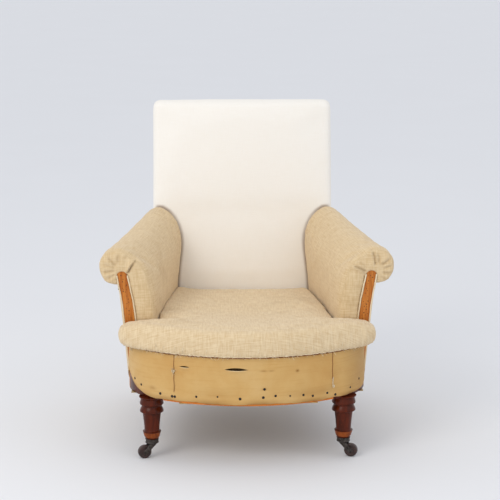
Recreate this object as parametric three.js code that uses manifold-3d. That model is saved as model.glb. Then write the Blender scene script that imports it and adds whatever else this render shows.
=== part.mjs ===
// Small upholstered armchair on castors, stripped back to its undercovers.
// Millimetres. X runs to the viewer's right when the chair faces the viewer,
// Y runs from the front of the chair to its back, Z is up.
// The beech frame carries webbing, springs and hessian in the seat; the arms
// and the back are stuffed pads over rails. Left and right are the viewer's.

import * as THREE from 'three';
import { mergeVertices } from 'three/addons/utils/BufferGeometryUtils.js';
import Module from 'manifold-3d';

const wasm = await Module();
wasm.setup();

// Driving dimensions, in millimetres.

// Gaps between pieces
const jointGap = 0.3;          // between two pieces that butt or rest on each other
const runningGap = 0.5;        // round a castor's axle pin, and at the wheel's sides
const padGap = 0.6;            // round a frame piece inside its stuffing

// Castors
const wheelRadius = 18;
const wheelWidth = 15;
const castorTrail = 21;        // from the swivel axis to the axle
const castorHeight = 53;       // floor to the top of the cup
const cupRadius = 18;
const cupDepth = 12.5;
const swivelPinRadius = 4;
const axleRadius = 2.5;
const cheekThickness = 3;

// Turned front legs
const legHalfSpacing = 255;
const legAxisY = 8;
const railBottom = 169;        // underside of the seat rails above the floor
const ringRadius = 31.4;
const collarRadius = 24;
const shaftTopRadius = 25;
const shaftBottomRadius = 20;
const neckRadius = 17.5;
const legStubRadius = 14;      // where the turned leg runs into its corner block

// Seat rails
const railHeight = 72;
const railThickness = 32;
const sideHalfWidth = 318;     // outer face of the side rails behind the corner
const bowFront = 100;          // how far the bow stands in front of Y = 0
const bowAtLeg = 16;           // the same, measured at the leg's X
const cornerRadius = 180;
const cornerBlockInner = 224;  // where the front rail ends and the leg's block starts
const cornerBlockBack = 50;

// Back posts: rear leg and upright in one raked piece
const postHalfSpacingSeat = 234;
const postHalfSpacingTop = 238;
const postHalfSpacingFoot = 216;
const postWidth = 38;
const postDepthSeat = 44;
const postDepthTop = 28;
const postFootSize = 31;
const postSeatY = 589;
const postFootY = 640;
const postTopY = 668;
const postTop = 868;

// Back
const topRailHeight = 56;
const railDepthBack = 24;
const backTackRailHeight = 32;
const backTackRailZ = 296;
const backPadBottom = 262;
const backPadTop = 889;
const backSideThickness = 8;   // calico and wadding over the outside of a post
const backStuffingSeat = 40;   // in front of the posts at the seat
const backStuffingTop = 26;
const backCrown = 16;
const backCornerRadius = 9;

// Seat stuffing
const seatPadBottom = 299;
const seatPadThickness = 62;
const seatOverhang = 18;       // past the border cloth
const seatEar = 30;            // how much further its front corners bulge in front of the arms
const seatSag = 13;
const borderThickness = 2.5;
const borderTop = 298;
const hemRise = 22;            // how far the border's lower edge climbs past the legs
const borderTears = [
  // middle X, Z, width, height
  [-32, 267, 58, 7],
  [-166, 265, 24, 3],
];

// Springs and webbing
const webWidth = 50;
const webThickness = 2;
const webSag = 5;              // how far the straps hang below the rails' underside
const springWire = 4;
const springTurns = 4;
const springEndRadius = 40;
const springWaistRadius = 26;
const springColumns = [-104, 0, 104];
const springRows = [136, 265, 395];

// Arms
const armFrontY = 86;
const armBackY = 604;
const stumpFrontY = 88;
const stumpDepth = 44;
const stumpWidth = 31;         // at the rail
const stumpTopWidth = 25;
const stumpTop = 500;
const facingTop = 486;         // above this the hessian is drawn over the stump
const stumpLean = 0.098;       // outward lean of the stump for each millimetre up
const stumpFlare = 8;          // how much further out its top is sawn, in a curve
const stumpFlareFrom = 385;
const armRailWidth = 27;
const armRailHeight = 34;
const tackRailWidth = 20;
const tackRailHeight = 34;
const tackRailZ = 292;
const clothThickness = 2.5;
const armUnderFront = 445;     // underside of the scroll at the front, where the outside cloth starts
const armUnderBack = 503;
const armRailBackZ = 544;      // top of the arm rail where it meets the post

// Finishes, taken from the photograph
const finish = {
  beech: { color: 0xc0743a, roughness: 0.62, metalness: 0 },
  mahogany: { color: 0x5a2a17, roughness: 0.3, metalness: 0 },
  iron: { color: 0x3b3431, roughness: 0.45, metalness: 0.9 },
  wheel: { color: 0x552d32, roughness: 0.5, metalness: 0 },
  calico: { color: 0xf1ebe0, roughness: 0.9, metalness: 0 },
  hessian: { color: 0xd6c19a, roughness: 0.95, metalness: 0 },
  oldLining: { color: 0xd4ac6c, roughness: 0.92, metalness: 0 },
  jute: { color: 0xa98c5e, roughness: 0.95, metalness: 0 },
  springSteel: { color: 0x6f6a64, roughness: 0.4, metalness: 0.9 },
};

const chair = new THREE.Group();

// Helpers

function addPiece(name, geometry, look, parent = chair) {
  geometry.computeVertexNormals();
  const mesh = new THREE.Mesh(geometry, new THREE.MeshStandardMaterial(finish[look]));
  mesh.name = name;
  parent.add(mesh);
  return mesh;
}

// A closed geometry with only its corner points, shared between its faces
function welded(geometry) {
  const bare = geometry.clone();
  bare.deleteAttribute('normal');
  bare.deleteAttribute('uv');
  return mergeVertices(bare, 1e-4);
}

function toSolid(geometry) {
  const bare = welded(geometry);
  const source = new wasm.Mesh({
    numProp: 3,
    vertProperties: new Float32Array(bare.attributes.position.array),
    triVerts: new Uint32Array(bare.index.array),
  });
  return new wasm.Manifold(source);
}

function toGeometry(solid) {
  const result = solid.getMesh();
  const geometry = new THREE.BufferGeometry();
  geometry.setAttribute('position', new THREE.BufferAttribute(new Float32Array(result.vertProperties), 3));
  geometry.setIndex(new THREE.BufferAttribute(new Uint32Array(result.triVerts), 1));
  return geometry;
}

function cut(geometry, ...tools) {
  let solid = toSolid(geometry);
  for (const tool of tools) {
    solid = solid.subtract(toSolid(tool));
  }
  return toGeometry(solid);
}

function joined(...geometries) {
  let solid = toSolid(geometries[0]);
  for (const geometry of geometries.slice(1)) {
    solid = solid.add(toSolid(geometry));
  }
  return toGeometry(solid);
}

function common(first, second) {
  return toGeometry(toSolid(first).intersect(toSolid(second)));
}

function mirrored(geometry) {
  const copy = welded(geometry);
  copy.scale(-1, 1, 1);
  const corners = copy.index.array;
  for (let i = 0; i < corners.length; i += 3) {
    const first = corners[i];
    corners[i] = corners[i + 1];
    corners[i + 1] = first;
  }
  return copy;
}

// The same piece on both sides: the geometry is the right-hand one
function addPair(name, geometry, look) {
  addPiece(`${name}_right`, geometry, look);
  addPiece(`${name}_left`, mirrored(geometry), look);
}

function signedVolume(points, faces) {
  let volume = 0;
  for (const [a, b, c] of faces) {
    volume += points[a].dot(points[b].clone().cross(points[c])) / 6;
  }
  return volume;
}

// A closed solid through rings of equal length. flatten gives a ring's point
// as a flat one, so that the end caps can be filled.
function loft(rings, flatten) {
  const count = rings[0].length;
  const points = rings.flat();
  const faces = [];
  for (let r = 0; r + 1 < rings.length; r += 1) {
    for (let i = 0; i < count; i += 1) {
      const j = (i + 1) % count;
      const low = r * count;
      const high = low + count;
      faces.push([low + i, low + j, high + j], [low + i, high + j, high + i]);
    }
  }
  const wallFaces = faces.length;
  for (const end of [0, rings.length - 1]) {
    const outline = rings[end].map(flatten);
    const reversed = THREE.ShapeUtils.isClockWise(outline);
    for (const [a, b, c] of THREE.ShapeUtils.triangulateShape(outline, [])) {
      const base = end * count;
      const forwards = (end === 0) === reversed;
      faces.push(forwards ? [base + a, base + b, base + c] : [base + a, base + c, base + b]);
    }
  }
  if (!sharesEdgesOppositely(faces, wallFaces)) {
    for (const face of faces.slice(wallFaces)) {
      face.reverse();
    }
  }
  if (signedVolume(points, faces) < 0) {
    for (const face of faces) {
      face.reverse();
    }
  }
  const geometry = new THREE.BufferGeometry();
  geometry.setFromPoints(points);
  geometry.setIndex(faces.flat());
  return geometry;
}

// True where the caps run round their rim against the walls, as they should
function sharesEdgesOppositely(faces, wallFaces) {
  const directed = new Set();
  for (const [a, b, c] of faces.slice(0, wallFaces)) {
    directed.add(`${a}_${b}`).add(`${b}_${c}`).add(`${c}_${a}`);
  }
  for (const [a, b, c] of faces.slice(wallFaces)) {
    if (directed.has(`${a}_${b}`) || directed.has(`${b}_${c}`) || directed.has(`${c}_${a}`)) {
      return false;
    }
  }
  return true;
}

const onPlan = (p) => new THREE.Vector2(p.x, p.y);
const onFront = (p) => new THREE.Vector2(p.x, p.z);

function box(x0, x1, y0, y1, z0, z1) {
  const geometry = new THREE.BoxGeometry(x1 - x0, y1 - y0, z1 - z0);
  geometry.translate((x0 + x1) / 2, (y0 + y1) / 2, (z0 + z1) / 2);
  return geometry;
}

// A straight piece between two four-cornered ends
function bar(firstEnd, secondEnd) {
  return loft([firstEnd, secondEnd], onFront);
}

// The four corners of an upright rectangle across X and Z at one Y
function crossEnd(x0, x1, y, z0, z1) {
  return [[x0, z0], [x1, z0], [x1, z1], [x0, z1]].map(([x, z]) => new THREE.Vector3(x, y, z));
}

function extrudePlan(shape, z0, z1) {
  const geometry = new THREE.ExtrudeGeometry(shape, { depth: z1 - z0, bevelEnabled: false });
  geometry.translate(0, 0, z0);
  return geometry;
}

function lathe(profile, segments) {
  const geometry = new THREE.LatheGeometry(profile.map(([r, z]) => new THREE.Vector2(r, z)), segments);
  geometry.rotateX(Math.PI / 2);
  return geometry;
}

const mix = (a, b, t) => a + (b - a) * t;
const clamp01 = (t) => Math.min(1, Math.max(0, t));
const ease = (t) => clamp01(t) ** 2 * (3 - 2 * clamp01(t));

// The value at one place of a curve given as [place, value] pairs
function along(stations, place) {
  const last = stations.length - 1;
  if (place <= stations[0][0]) {
    return stations[0][1];
  }
  for (let i = 0; i < last; i += 1) {
    const [from, a] = stations[i];
    const [to, b] = stations[i + 1];
    if (place <= to) {
      return mix(a, b, (place - from) / (to - from));
    }
  }
  return stations[last][1];
}

const railTop = railBottom + railHeight;

// Plan of the seat
// The front is one long bow. A wide corner leads into each side rail, and
// the sides run in towards the back posts.

const postOuterSeat = postHalfSpacingSeat + postWidth / 2;
const postFrontSeat = postSeatY - postDepthSeat / 2;

// Half of the seat's outline, from the middle of the front to a back post,
// set out by a margin outside the rails' outer faces
function seatOutline(margin) {
  const front = -bowFront - margin;
  const side = sideHalfWidth + margin;
  const rise = bowFront - bowAtLeg;
  const bowRadius = (legHalfSpacing ** 2 + rise ** 2) / (2 * rise) + margin;
  const bowCentreY = front + bowRadius;
  const corner = cornerRadius + margin;
  const cornerX = side - corner;
  const cornerY = bowCentreY - Math.sqrt((bowRadius - corner) ** 2 - cornerX ** 2);
  const joinAngle = Math.atan2(cornerX, bowCentreY - cornerY);
  const points = [];
  const bowSteps = 8;
  for (let i = 0; i < bowSteps; i += 1) {
    const angle = (joinAngle * i) / bowSteps;
    points.push([bowRadius * Math.sin(angle), bowCentreY - bowRadius * Math.cos(angle)]);
  }
  const cornerSteps = 6;
  for (let i = 0; i <= cornerSteps; i += 1) {
    const angle = mix(joinAngle, Math.PI / 2, i / cornerSteps);
    points.push([cornerX + corner * Math.sin(angle), cornerY - corner * Math.cos(angle)]);
  }
  points.push([postOuterSeat + margin, postSeatY + postDepthSeat / 2]);
  return points;
}

// The whole outline as a flat shape, mirrored about the middle
function seatShape(margin) {
  const half = seatOutline(margin);
  const whole = [...half, ...half.slice(1).reverse().map(([x, y]) => [-x, y])];
  return new THREE.Shape(whole.map(([x, y]) => new THREE.Vector2(x, y)));
}

// The outer face's X at one Y, on the side of the seat
function sideX(y, margin) {
  const side = seatOutline(margin).map(([x, atY]) => [atY, x]);
  return along(side, y);
}

const railRing = cut(
  extrudePlan(seatShape(0), railBottom, railTop),
  extrudePlan(seatShape(-railThickness), railBottom - 1, railTop + 1),
);
const far = 1000;

// Front rail, sawn to the bow from thick beech
addPiece('front_rail', common(railRing, box(
  -cornerBlockInner + jointGap, cornerBlockInner - jointGap, -far, cornerBlockBack, 0, far,
)), 'beech');

// Side rails, from the legs' blocks to the back posts
addPair('side_rail', common(railRing, box(
  0, far, cornerBlockBack + jointGap, postFrontSeat - jointGap, 0, far,
)), 'beech');

// Back rail between the posts
const postInnerSeat = postHalfSpacingSeat - postWidth / 2;
addPiece('back_rail', box(
  -postInnerSeat + jointGap, postInnerSeat - jointGap,
  postSeatY - railThickness / 2, postSeatY + railThickness / 2,
  railBottom, railTop,
), 'beech');

// Front legs: a turned leg with the corner block of the seat frame at its top

const legBottom = castorHeight;
const legLength = railBottom - legBottom;
const legProfile = [
  [0, 0], [neckRadius, 0], [neckRadius, 0.035], [collarRadius - 1.5, 0.06], [collarRadius, 0.11],
  [collarRadius - 1.5, 0.165], [shaftBottomRadius + 0.5, 0.2], [shaftBottomRadius, 0.24],
  [mix(shaftBottomRadius, shaftTopRadius, 0.45), 0.44],
  [shaftTopRadius, 0.605], [shaftTopRadius + 2.5, 0.63],
  [ringRadius - 1.5, 0.655], [ringRadius, 0.7], [ringRadius - 1.5, 0.745],
  [ringRadius - 5, 0.78], [ringRadius - 5, 0.805],
  [ringRadius - 1.5, 0.84], [ringRadius, 0.88], [ringRadius - 1.5, 0.925],
  [ringRadius - 3, 0.95], [ringRadius + 2, 0.99], [ringRadius + 2, 1.0], [legStubRadius, 1.0],
  [legStubRadius, 1.05], [0, 1.05],
].map(([radius, share]) => [radius, legBottom + share * legLength]);
const turnedLeg = lathe(legProfile, 20);
turnedLeg.translate(legHalfSpacing, legAxisY, 0);
const legBlock = common(
  extrudePlan(seatShape(0), railBottom, railTop),
  box(cornerBlockInner, far, -far, cornerBlockBack, railBottom, railTop),
);
addPair('front_leg', joined(turnedLeg, legBlock), 'mahogany');

// Back posts

const postPath = [
  // height, Y of the centre, half spacing, width, depth
  [castorHeight, postFootY, postHalfSpacingFoot, postFootSize, postFootSize],
  [railBottom, postSeatY + 8, postHalfSpacingSeat, postWidth, postDepthSeat],
  [railTop, postSeatY, postHalfSpacingSeat, postWidth, postDepthSeat],
  [mix(railTop, postTop, 0.18), postSeatY + 2, postHalfSpacingSeat, postWidth, postDepthSeat - 4],
  [
    mix(railTop, postTop, 0.45), mix(postSeatY, postTopY, 0.3),
    postHalfSpacingSeat + 1, postWidth, postDepthSeat - 8,
  ],
  [postTop, postTopY, postHalfSpacingTop, postWidth - 4, postDepthTop],
];
const postY = (z) => along(postPath.map(([at, y]) => [at, y]), z);
const postX = (z) => along(postPath.map(([at, , x]) => [at, x]), z);
const postW = (z) => along(postPath.map(([at, , , w]) => [at, w]), z);
const postD = (z) => along(postPath.map(([at, , , , d]) => [at, d]), z);
const postFront = (z) => postY(z) - postD(z) / 2;
const postRear = (z) => postY(z) + postD(z) / 2;
const postOuter = (z) => postX(z) + postW(z) / 2;
const postInner = (z) => postX(z) - postW(z) / 2;

const postHeights = postPath.map(([z]) => z);
addPair('back_post', loft(postHeights.map((z) => [
  new THREE.Vector3(postInner(z), postFront(z), z),
  new THREE.Vector3(postOuter(z), postFront(z), z),
  new THREE.Vector3(postOuter(z), postRear(z), z),
  new THREE.Vector3(postInner(z), postRear(z), z),
]), onPlan), 'beech');

// A rail between the posts that follows their rake, set at their front faces
function backRail(z0, z1) {
  const corner = (side, z, depth) => new THREE.Vector3(
    side * (postInner(z) - jointGap), postFront(z) + depth, z,
  );
  const end = (side) => [
    corner(side, z0, 1), corner(side, z0, 1 + railDepthBack),
    corner(side, z1, 1 + railDepthBack), corner(side, z1, 1),
  ];
  return loft([end(-1), end(1)], (p) => new THREE.Vector2(p.y, p.z));
}
addPiece('top_rail', backRail(postTop - topRailHeight, postTop), 'beech');
addPiece('back_tacking_rail', backRail(backTackRailZ, backTackRailZ + backTackRailHeight), 'beech');

// Arms
// An arm's section at its front and at its back, as [X, Z] from the inner
// foot over the top and round the scroll to the outer foot.

const armFoot = seatPadBottom - 3;
const armFrontSection = [
  [243, armFoot], [243, 330], [246, 400], [254, 455], [270, 500], [298, 531], [334, 550],
  [368, 548], [390, 528], [397, 499], [389, 470], [367, 451], [342, 451], [322, 449],
  [306, 400], [299, 330], [293, armFoot],
];
const armBackSection = [
  [188, armFoot], [187, 330], [183, 400], [177, 450], [175, 492], [186, 535], [211, 568],
  [243, 584], [271, 577], [283, 555], [275, 530], [257, 516], [243, 507], [234, 492],
  [232, 430], [232, 330], [232, armFoot],
];
const armSectionFrontY = 92;
const armSectionBackY = 560;

// The arm's ring at one Y, drawn in by an inset all round
function armRing(y, inset) {
  const t = (y - armSectionFrontY) / (armSectionBackY - armSectionFrontY);
  const controls = armFrontSection.map(([x, z], i) => {
    const [backX, backZ] = armBackSection[i];
    return new THREE.Vector3(mix(x, backX, t), mix(z, backZ, t), 0);
  });
  const feet = 2;
  const curve = new THREE.CatmullRomCurve3(controls, false, 'centripetal');
  const ring = curve.getPoints(26);
  return ring.map((p, i) => {
    const before = ring[Math.max(i - 1, 0)];
    const after = ring[Math.min(i + 1, ring.length - 1)];
    const away = new THREE.Vector2(after.y - before.y, before.x - after.x).normalize();
    const z = i < feet || i > ring.length - 1 - feet ? p.y : p.y + away.y * inset;
    return new THREE.Vector3(p.x + away.x * inset, y, z);
  });
}

// How much the drawn-in front edge of the arm is pulled in, with its gathers
const frontRounding = [[0, 9], [3, 4.5], [9, 1.5], [20, 0]];
const armStations = [0, 3, 9, 20, 60, 140, 240, 350, 440, armBackY - armFrontY];
function armBody() {
  const rings = armStations.map((step) => {
    const ring = armRing(armFrontY + step, along(frontRounding, step));
    const pull = along([[0, 1], [20, 1], [75, 0]], step);
    return ring.map((p, i) => {
      const onScroll = i > 9 && i < 20;
      const gather = onScroll ? (i % 2 === 0 ? 1.6 : -1.6) * pull : 0;
      return new THREE.Vector3(p.x, p.y, p.z + gather);
    });
  });
  return loft(rings, onFront);
}

const stumpCurve = (z) => stumpFlare * ease((z - stumpFlareFrom) / (stumpTop - stumpFlareFrom));
const stumpX = (z) => sideHalfWidth - railThickness / 2 + (z - railTop) * stumpLean + stumpCurve(z);
const stumpHalf = (z) => mix(stumpWidth, stumpTopWidth, clamp01((z - railTop) / (stumpTop - railTop))) / 2;
function stump(z0, z1, y0, y1, grow) {
  const level = (z) => [
    new THREE.Vector3(stumpX(z) - stumpHalf(z) - grow, y0 - grow, z),
    new THREE.Vector3(stumpX(z) + stumpHalf(z) + grow, y0 - grow, z),
    new THREE.Vector3(stumpX(z) + stumpHalf(z) + grow, y1 + grow, z),
    new THREE.Vector3(stumpX(z) - stumpHalf(z) - grow, y1 + grow, z),
  ];
  const sawn = [0.2, 0.4, 0.6, 0.8].map((share) => mix(stumpFlareFrom, stumpTop, share));
  const heights = [z0, stumpFlareFrom, ...sawn.filter((z) => z < z1 - 5), z1];
  return loft(heights.map(level), onPlan);
}
addPair('arm_stump', stump(railTop + jointGap, stumpTop, stumpFrontY, stumpFrontY + stumpDepth, 0), 'beech');

// Arm rail, from the back of the stump to the post, under the scroll
const armRailStartY = stumpFrontY + stumpDepth + jointGap;
const armRailEndY = postFront(armRailBackZ - armRailHeight) - jointGap;
function armRail(grow, drop, outward = 0) {
  const frontX = stumpX(stumpTop);
  const backX = postOuter(armRailBackZ) - armRailWidth / 2 - 1;
  const half = armRailWidth / 2 + grow;
  return bar(
    crossEnd(frontX - half, frontX + half + outward, armRailStartY - grow,
      stumpTop - armRailHeight - drop, stumpTop + grow),
    crossEnd(backX - half, backX + half + outward, armRailEndY + grow * 2,
      armRailBackZ - armRailHeight - drop, armRailBackZ + grow),
  );
}
addPair('arm_rail', armRail(0, 0), 'beech');

// Tacking rail low in the arm, outside the stuffing
const tackRailInnerFront = stumpX(tackRailZ) - stumpHalf(tackRailZ) + 6;
const tackRailInnerBack = postOuterSeat - tackRailWidth;
const tackRailEndY = postFront(tackRailZ) - jointGap;
function tackRail(grow, outward = 0) {
  const z0 = tackRailZ - grow - outward;
  const z1 = tackRailZ + tackRailHeight + grow;
  const width = tackRailWidth + grow + outward;
  return bar(
    crossEnd(tackRailInnerFront - grow, tackRailInnerFront + width, armRailStartY - grow, z0, z1),
    crossEnd(tackRailInnerBack - grow, tackRailInnerBack + width, tackRailEndY + grow * 2, z0, z1),
  );
}
addPair('arm_tacking_rail', tackRail(0), 'beech');

// Back stuffing in calico, drawn over the posts and the top rail

function backFront(z) {
  const t = (z - backPadBottom) / (backPadTop - backPadBottom);
  return postFront(Math.min(z, postTop)) - mix(backStuffingSeat, backStuffingTop, t);
}

// Below the arms the back has no sides of its own: the outside arm cloth is there
function backHalf(z) {
  const wrap = ease((z - armUnderBack) / (armRailBackZ + 20 - armUnderBack));
  return postOuter(Math.min(z, postTop)) + mix(-1, backSideThickness, wrap);
}
const backCrownAt = (z) => backCrown * clamp01((z - backPadBottom) / 120);
const backCornerDraw = 2;
function backFace(x, z) {
  const share = x / (backHalf(z) - backCornerRadius);
  return backFront(z) - backCrownAt(z) * (1 - share ** 2) - backCornerDraw;
}

// The back's ring at one height; inset draws it in at the top
function backRing(z, inset, grow) {
  const at = Math.min(z, postTop);
  const half = backHalf(z) - inset + grow;
  const front = backFront(z) + inset * 0.8 - grow;
  const rear = postRear(at) - inset * 0.2 + grow;
  const crown = backCrownAt(z) * (inset > 12 ? 0.6 : 1);
  const points = [];
  const steps = 12;
  for (let i = 0; i <= steps; i += 1) {
    const side = mix(-1, 1, i / steps);
    const x = side * (half - backCornerRadius);
    points.push(new THREE.Vector3(x, front - crown * (1 - side ** 2) - backCornerDraw, z));
  }
  points.push(new THREE.Vector3(half - 2.5, front + 4, z));
  points.push(new THREE.Vector3(half, front + 14, z));
  points.push(new THREE.Vector3(half, rear, z));
  points.push(new THREE.Vector3(-half, rear, z));
  points.push(new THREE.Vector3(-half, front + 14, z));
  points.push(new THREE.Vector3(-half + 2.5, front + 4, z));
  return points;
}
function backBody(grow) {
  const levels = [
    [backPadBottom - grow, 0], [320, 0], [400, 0], [armUnderBack, 0], [mix(railTop, postTop, 0.45), 0],
    [armRailBackZ, 0], [armRailBackZ + 20, 0], [650, 0], [760, 0],
    [backPadTop - 30, 0], [backPadTop - 14, 2], [backPadTop - 5, 7], [backPadTop + grow, 18],
  ];
  return loft(levels.map(([z, inset]) => backRing(z, inset, grow)), onPlan);
}
// The space that the frame takes inside the back, open to the rear and below
function backWell() {
  const heights = [...postHeights.filter((z) => z > railBottom), postTop + padGap];
  heights[0] = backPadBottom - 5;
  return loft(heights.map((z) => {
    const half = postOuter(z) + padGap;
    return [
      new THREE.Vector3(-half, postFront(z) - webThickness - padGap * 2, z),
      new THREE.Vector3(half, postFront(z) - webThickness - padGap * 2, z),
      new THREE.Vector3(half, postRear(z) + 40, z),
      new THREE.Vector3(-half, postRear(z) + 40, z),
    ];
  }), onPlan);
}
const railsIntoBack = [armRail(padGap, padGap, 30), tackRail(padGap, 40)];

// Webbing across the front of the back's frame, stitched where it crosses
const backWebHeights = postHeights.filter((z) => z > railTop);
function backStrap(x0, x1, z0, z1) {
  const heights = [z0, ...backWebHeights.filter((z) => z > z0 && z < z1), z1];
  return loft(heights.map((z) => {
    const y = postFront(z) - jointGap;
    return [
      new THREE.Vector3(x0, y - webThickness, z), new THREE.Vector3(x1, y - webThickness, z),
      new THREE.Vector3(x1, y, z), new THREE.Vector3(x0, y, z),
    ];
  }), onPlan);
}
const backWebFoot = backTackRailZ + 6;
const backWebHead = postTop - 8;
const backStraps = [-120, 0, 120].map((x) => backStrap(
  x - webWidth / 2, x + webWidth / 2, backWebFoot, backWebHead,
));
const belowArm = [1 / 3, 2 / 3].map((share) => mix(backWebFoot, armRailBackZ - armRailHeight, share));
const aboveArm = [1 / 4, 2 / 4, 3 / 4].map((share) => mix(armRailBackZ, backWebHead, share));
for (const z of [...belowArm, ...aboveArm]) {
  const reach = postOuter(z) - 8;
  backStraps.push(backStrap(-reach, reach, z - webWidth / 2, z + webWidth / 2));
}
addPiece('back_webbing', joined(...backStraps), 'jute');
addPiece('back_pad', cut(
  backBody(0), backWell(), ...railsIntoBack, ...railsIntoBack.map(mirrored),
), 'calico');

// Arm stuffing in hessian, cut where the stump, the arm rail and the back are
const openStump = stump(railTop - 5, facingTop, stumpFrontY - 30, stumpFrontY + stumpDepth, padGap);
const coveredStump = stump(railTop - 5, stumpTop + padGap, stumpFrontY, stumpFrontY + stumpDepth, padGap);
const armPost = box(
  postInner(500) - padGap, far, postFront(armFoot) - 1, far, 0, far,
);
addPair('arm_pad', cut(
  armBody(), openStump, coveredStump, armRail(padGap, 30), tackRail(padGap, 40),
  backBody(padGap), mirrored(backBody(padGap)), armPost,
), 'hessian');

// Outside arm cloth, from under the scroll to the foot of the side rail
function outsideArm() {
  const startY = stumpFrontY + 4;
  const outline = seatOutline(jointGap * 2);
  const straightY = outline[outline.length - 2][1];
  const endY = postRear(railTop);
  const stumpRear = stumpFrontY + stumpDepth + 1;
  const stations = [startY, mix(startY, straightY, 0.5), straightY, Math.max(stumpRear, straightY + 1)];
  const bays = 6;
  for (let i = 1; i <= bays; i += 1) {
    stations.push(mix(stumpRear, endY, i / bays));
  }
  const levels = [0, 1 / 3, 2 / 3, 1];
  return loft(stations.map((y) => {
    const t = clamp01((y - stumpRear) / (endY - stumpRear));
    const bottom = sideX(y, jointGap * 2);
    const topZ = mix(armUnderFront, armUnderBack, t);
    const top = Math.max(mix(stumpX(topZ) + stumpHalf(topZ) + 1, postOuterSeat + 3, t), bottom);
    const wall = levels.map((share) => (
      new THREE.Vector3(mix(bottom, top, share), y, mix(railBottom + 2, topZ, share))
    ));
    const outer = wall.map((p) => new THREE.Vector3(p.x + clothThickness, p.y, p.z));
    return [...outer, ...wall.reverse()];
  }), onFront);
}
addPair('outside_arm', outsideArm(), 'hessian');

// Outside back cloth, over the backs of the posts
const clothHeights = [railBottom + 2, railTop, ...postHeights.filter((z) => z > railTop)];
addPiece('outside_back', loft(clothHeights.map((z) => {
  const half = postOuter(z) - 1;
  const y = postRear(z) + jointGap;
  return [
    new THREE.Vector3(-half, y, z), new THREE.Vector3(half, y, z),
    new THREE.Vector3(half, y + clothThickness, z), new THREE.Vector3(-half, y + clothThickness, z),
  ];
}), onPlan), 'hessian');

// Front border: old lining cloth round the bow, from the rail's foot to the seat's hem

const borderEndY = stumpFrontY - 4;
function borderWall() {
  const inner = seatOutline(jointGap);
  const outer = seatOutline(jointGap + borderThickness);
  const reach = inner.filter(([, y]) => y < borderEndY).length;
  const trimmed = (half, margin) => [...half.slice(0, reach), [sideX(borderEndY, margin), borderEndY]];
  const innerHalf = trimmed(inner, jointGap);
  const outerHalf = trimmed(outer, jointGap + borderThickness);
  const column = ([x, y], [outX, outY], side) => {
    const pastLeg = clamp01((y + bowAtLeg) / (borderEndY + bowAtLeg));
    const foot = railBottom + 1 + hemRise * Math.sin((pastLeg * Math.PI) / 2);
    return [
      new THREE.Vector3(side * x, y, foot), new THREE.Vector3(side * outX, outY, foot),
      new THREE.Vector3(side * outX, outY, borderTop), new THREE.Vector3(side * x, y, borderTop),
    ];
  };
  const right = innerHalf.map((p, i) => column(p, outerHalf[i], 1));
  const left = innerHalf.slice(1).map((p, i) => column(p, outerHalf[i + 1], -1)).reverse();
  return loft([...left, ...right], onFront);
}
// The tears run along the weave, a long lens each, right through the cloth
function tearCutter([x, z, width, height]) {
  const lens = new THREE.Shape();
  lens.moveTo(-width / 2, 0);
  lens.quadraticCurveTo(-width * 0.1, -height, width / 2, 0);
  lens.quadraticCurveTo(width * 0.1, height, -width / 2, 0);
  const cutter = new THREE.ExtrudeGeometry(lens, { depth: bowFront, bevelEnabled: false, curveSegments: 5 });
  cutter.rotateX(Math.PI / 2);
  cutter.translate(x, -bowFront * 0.4, z);
  return cutter;
}
addPiece('front_border', cut(borderWall(), ...borderTears.map(tearCutter)), 'oldLining');

// Seat stuffing: a T-shaped pad that overhangs the border and wraps the arms'
// fronts, with a stitched roll along its front edge

const armInner = (y) => armRing(y, 0)[1].x - padGap * 2;
const seatCrest = seatPadBottom + seatPadThickness;
const seatBackAt = (x) => Math.min(backFace(x, seatPadBottom), backFace(x, seatCrest)) - padGap * 2;
const seatBackY = seatBackAt(armInner(armSectionBackY));
function seatPlan() {
  const bow = seatOutline(seatOverhang).filter(([, y]) => y < armFrontY - 30);
  const points = bow.map(([x, y]) => [x + seatEar * ease((y + bowAtLeg * 4) / armFrontY), y]);
  const side = points[points.length - 1][0];
  points.push([side + 2, armFrontY - 20], [side - 2, armFrontY - 9], [side - 12, armFrontY - 2]);
  points.push([mix(side, armInner(armFrontY), 0.5), armFrontY - padGap]);
  points.push([armInner(armFrontY) + 12, armFrontY - padGap]);
  points.push([armInner(armFrontY) - 3, armFrontY + 4]);
  for (const y of [130, 200, 280, 360, 440]) {
    points.push([armInner(y), y]);
  }
  points.push([armInner(seatBackY), seatBackY - 18], [armInner(seatBackY) - 10, seatBackY - 2]);
  for (const x of [130, 70, 0]) {
    points.push([x, seatBackAt(x)]);
  }
  return points;
}
const seatHub = new THREE.Vector2(0, 44);
function seatRing(share, z, lift) {
  const half = seatPlan();
  const whole = [...half, ...half.slice(1, -1).reverse().map(([x, y]) => [-x, y])];
  return whole.map(([x, y]) => {
    const px = mix(seatHub.x, x, share);
    const py = mix(seatHub.y, y, share);
    return new THREE.Vector3(px, py, z + lift(px, py));
  });
}
// The top of the seat: a crown that has sunk in the middle and falls to the back
function seatTop(x, y) {
  const away = Math.hypot(x / 210, (y - 210) / 250);
  const hollow = seatSag * (1 - ease(away));
  const fall = 14 * clamp01((y + 60) / (seatBackY + 60));
  return -hollow - fall;
}
const level = () => 0;
addPiece('seat_pad', loft([
  seatRing(0.955, seatPadBottom, level),
  seatRing(0.985, seatPadBottom + 6, level),
  seatRing(1, seatPadBottom + 22, level),
  seatRing(0.998, seatPadBottom + 36, level),
  seatRing(0.985, seatPadBottom + 49, (x, y) => seatTop(x, y) * 0.7),
  seatRing(0.95, seatCrest - 3, seatTop),
  seatRing(0.86, seatCrest + 1, seatTop),
  seatRing(0.7, seatCrest + 1, seatTop),
  seatRing(0.45, seatCrest, seatTop),
  seatRing(0.2, seatCrest, seatTop),
], onPlan), 'hessian');

// Spring hessian: a hat over the springs, tacked inside the rails

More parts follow.
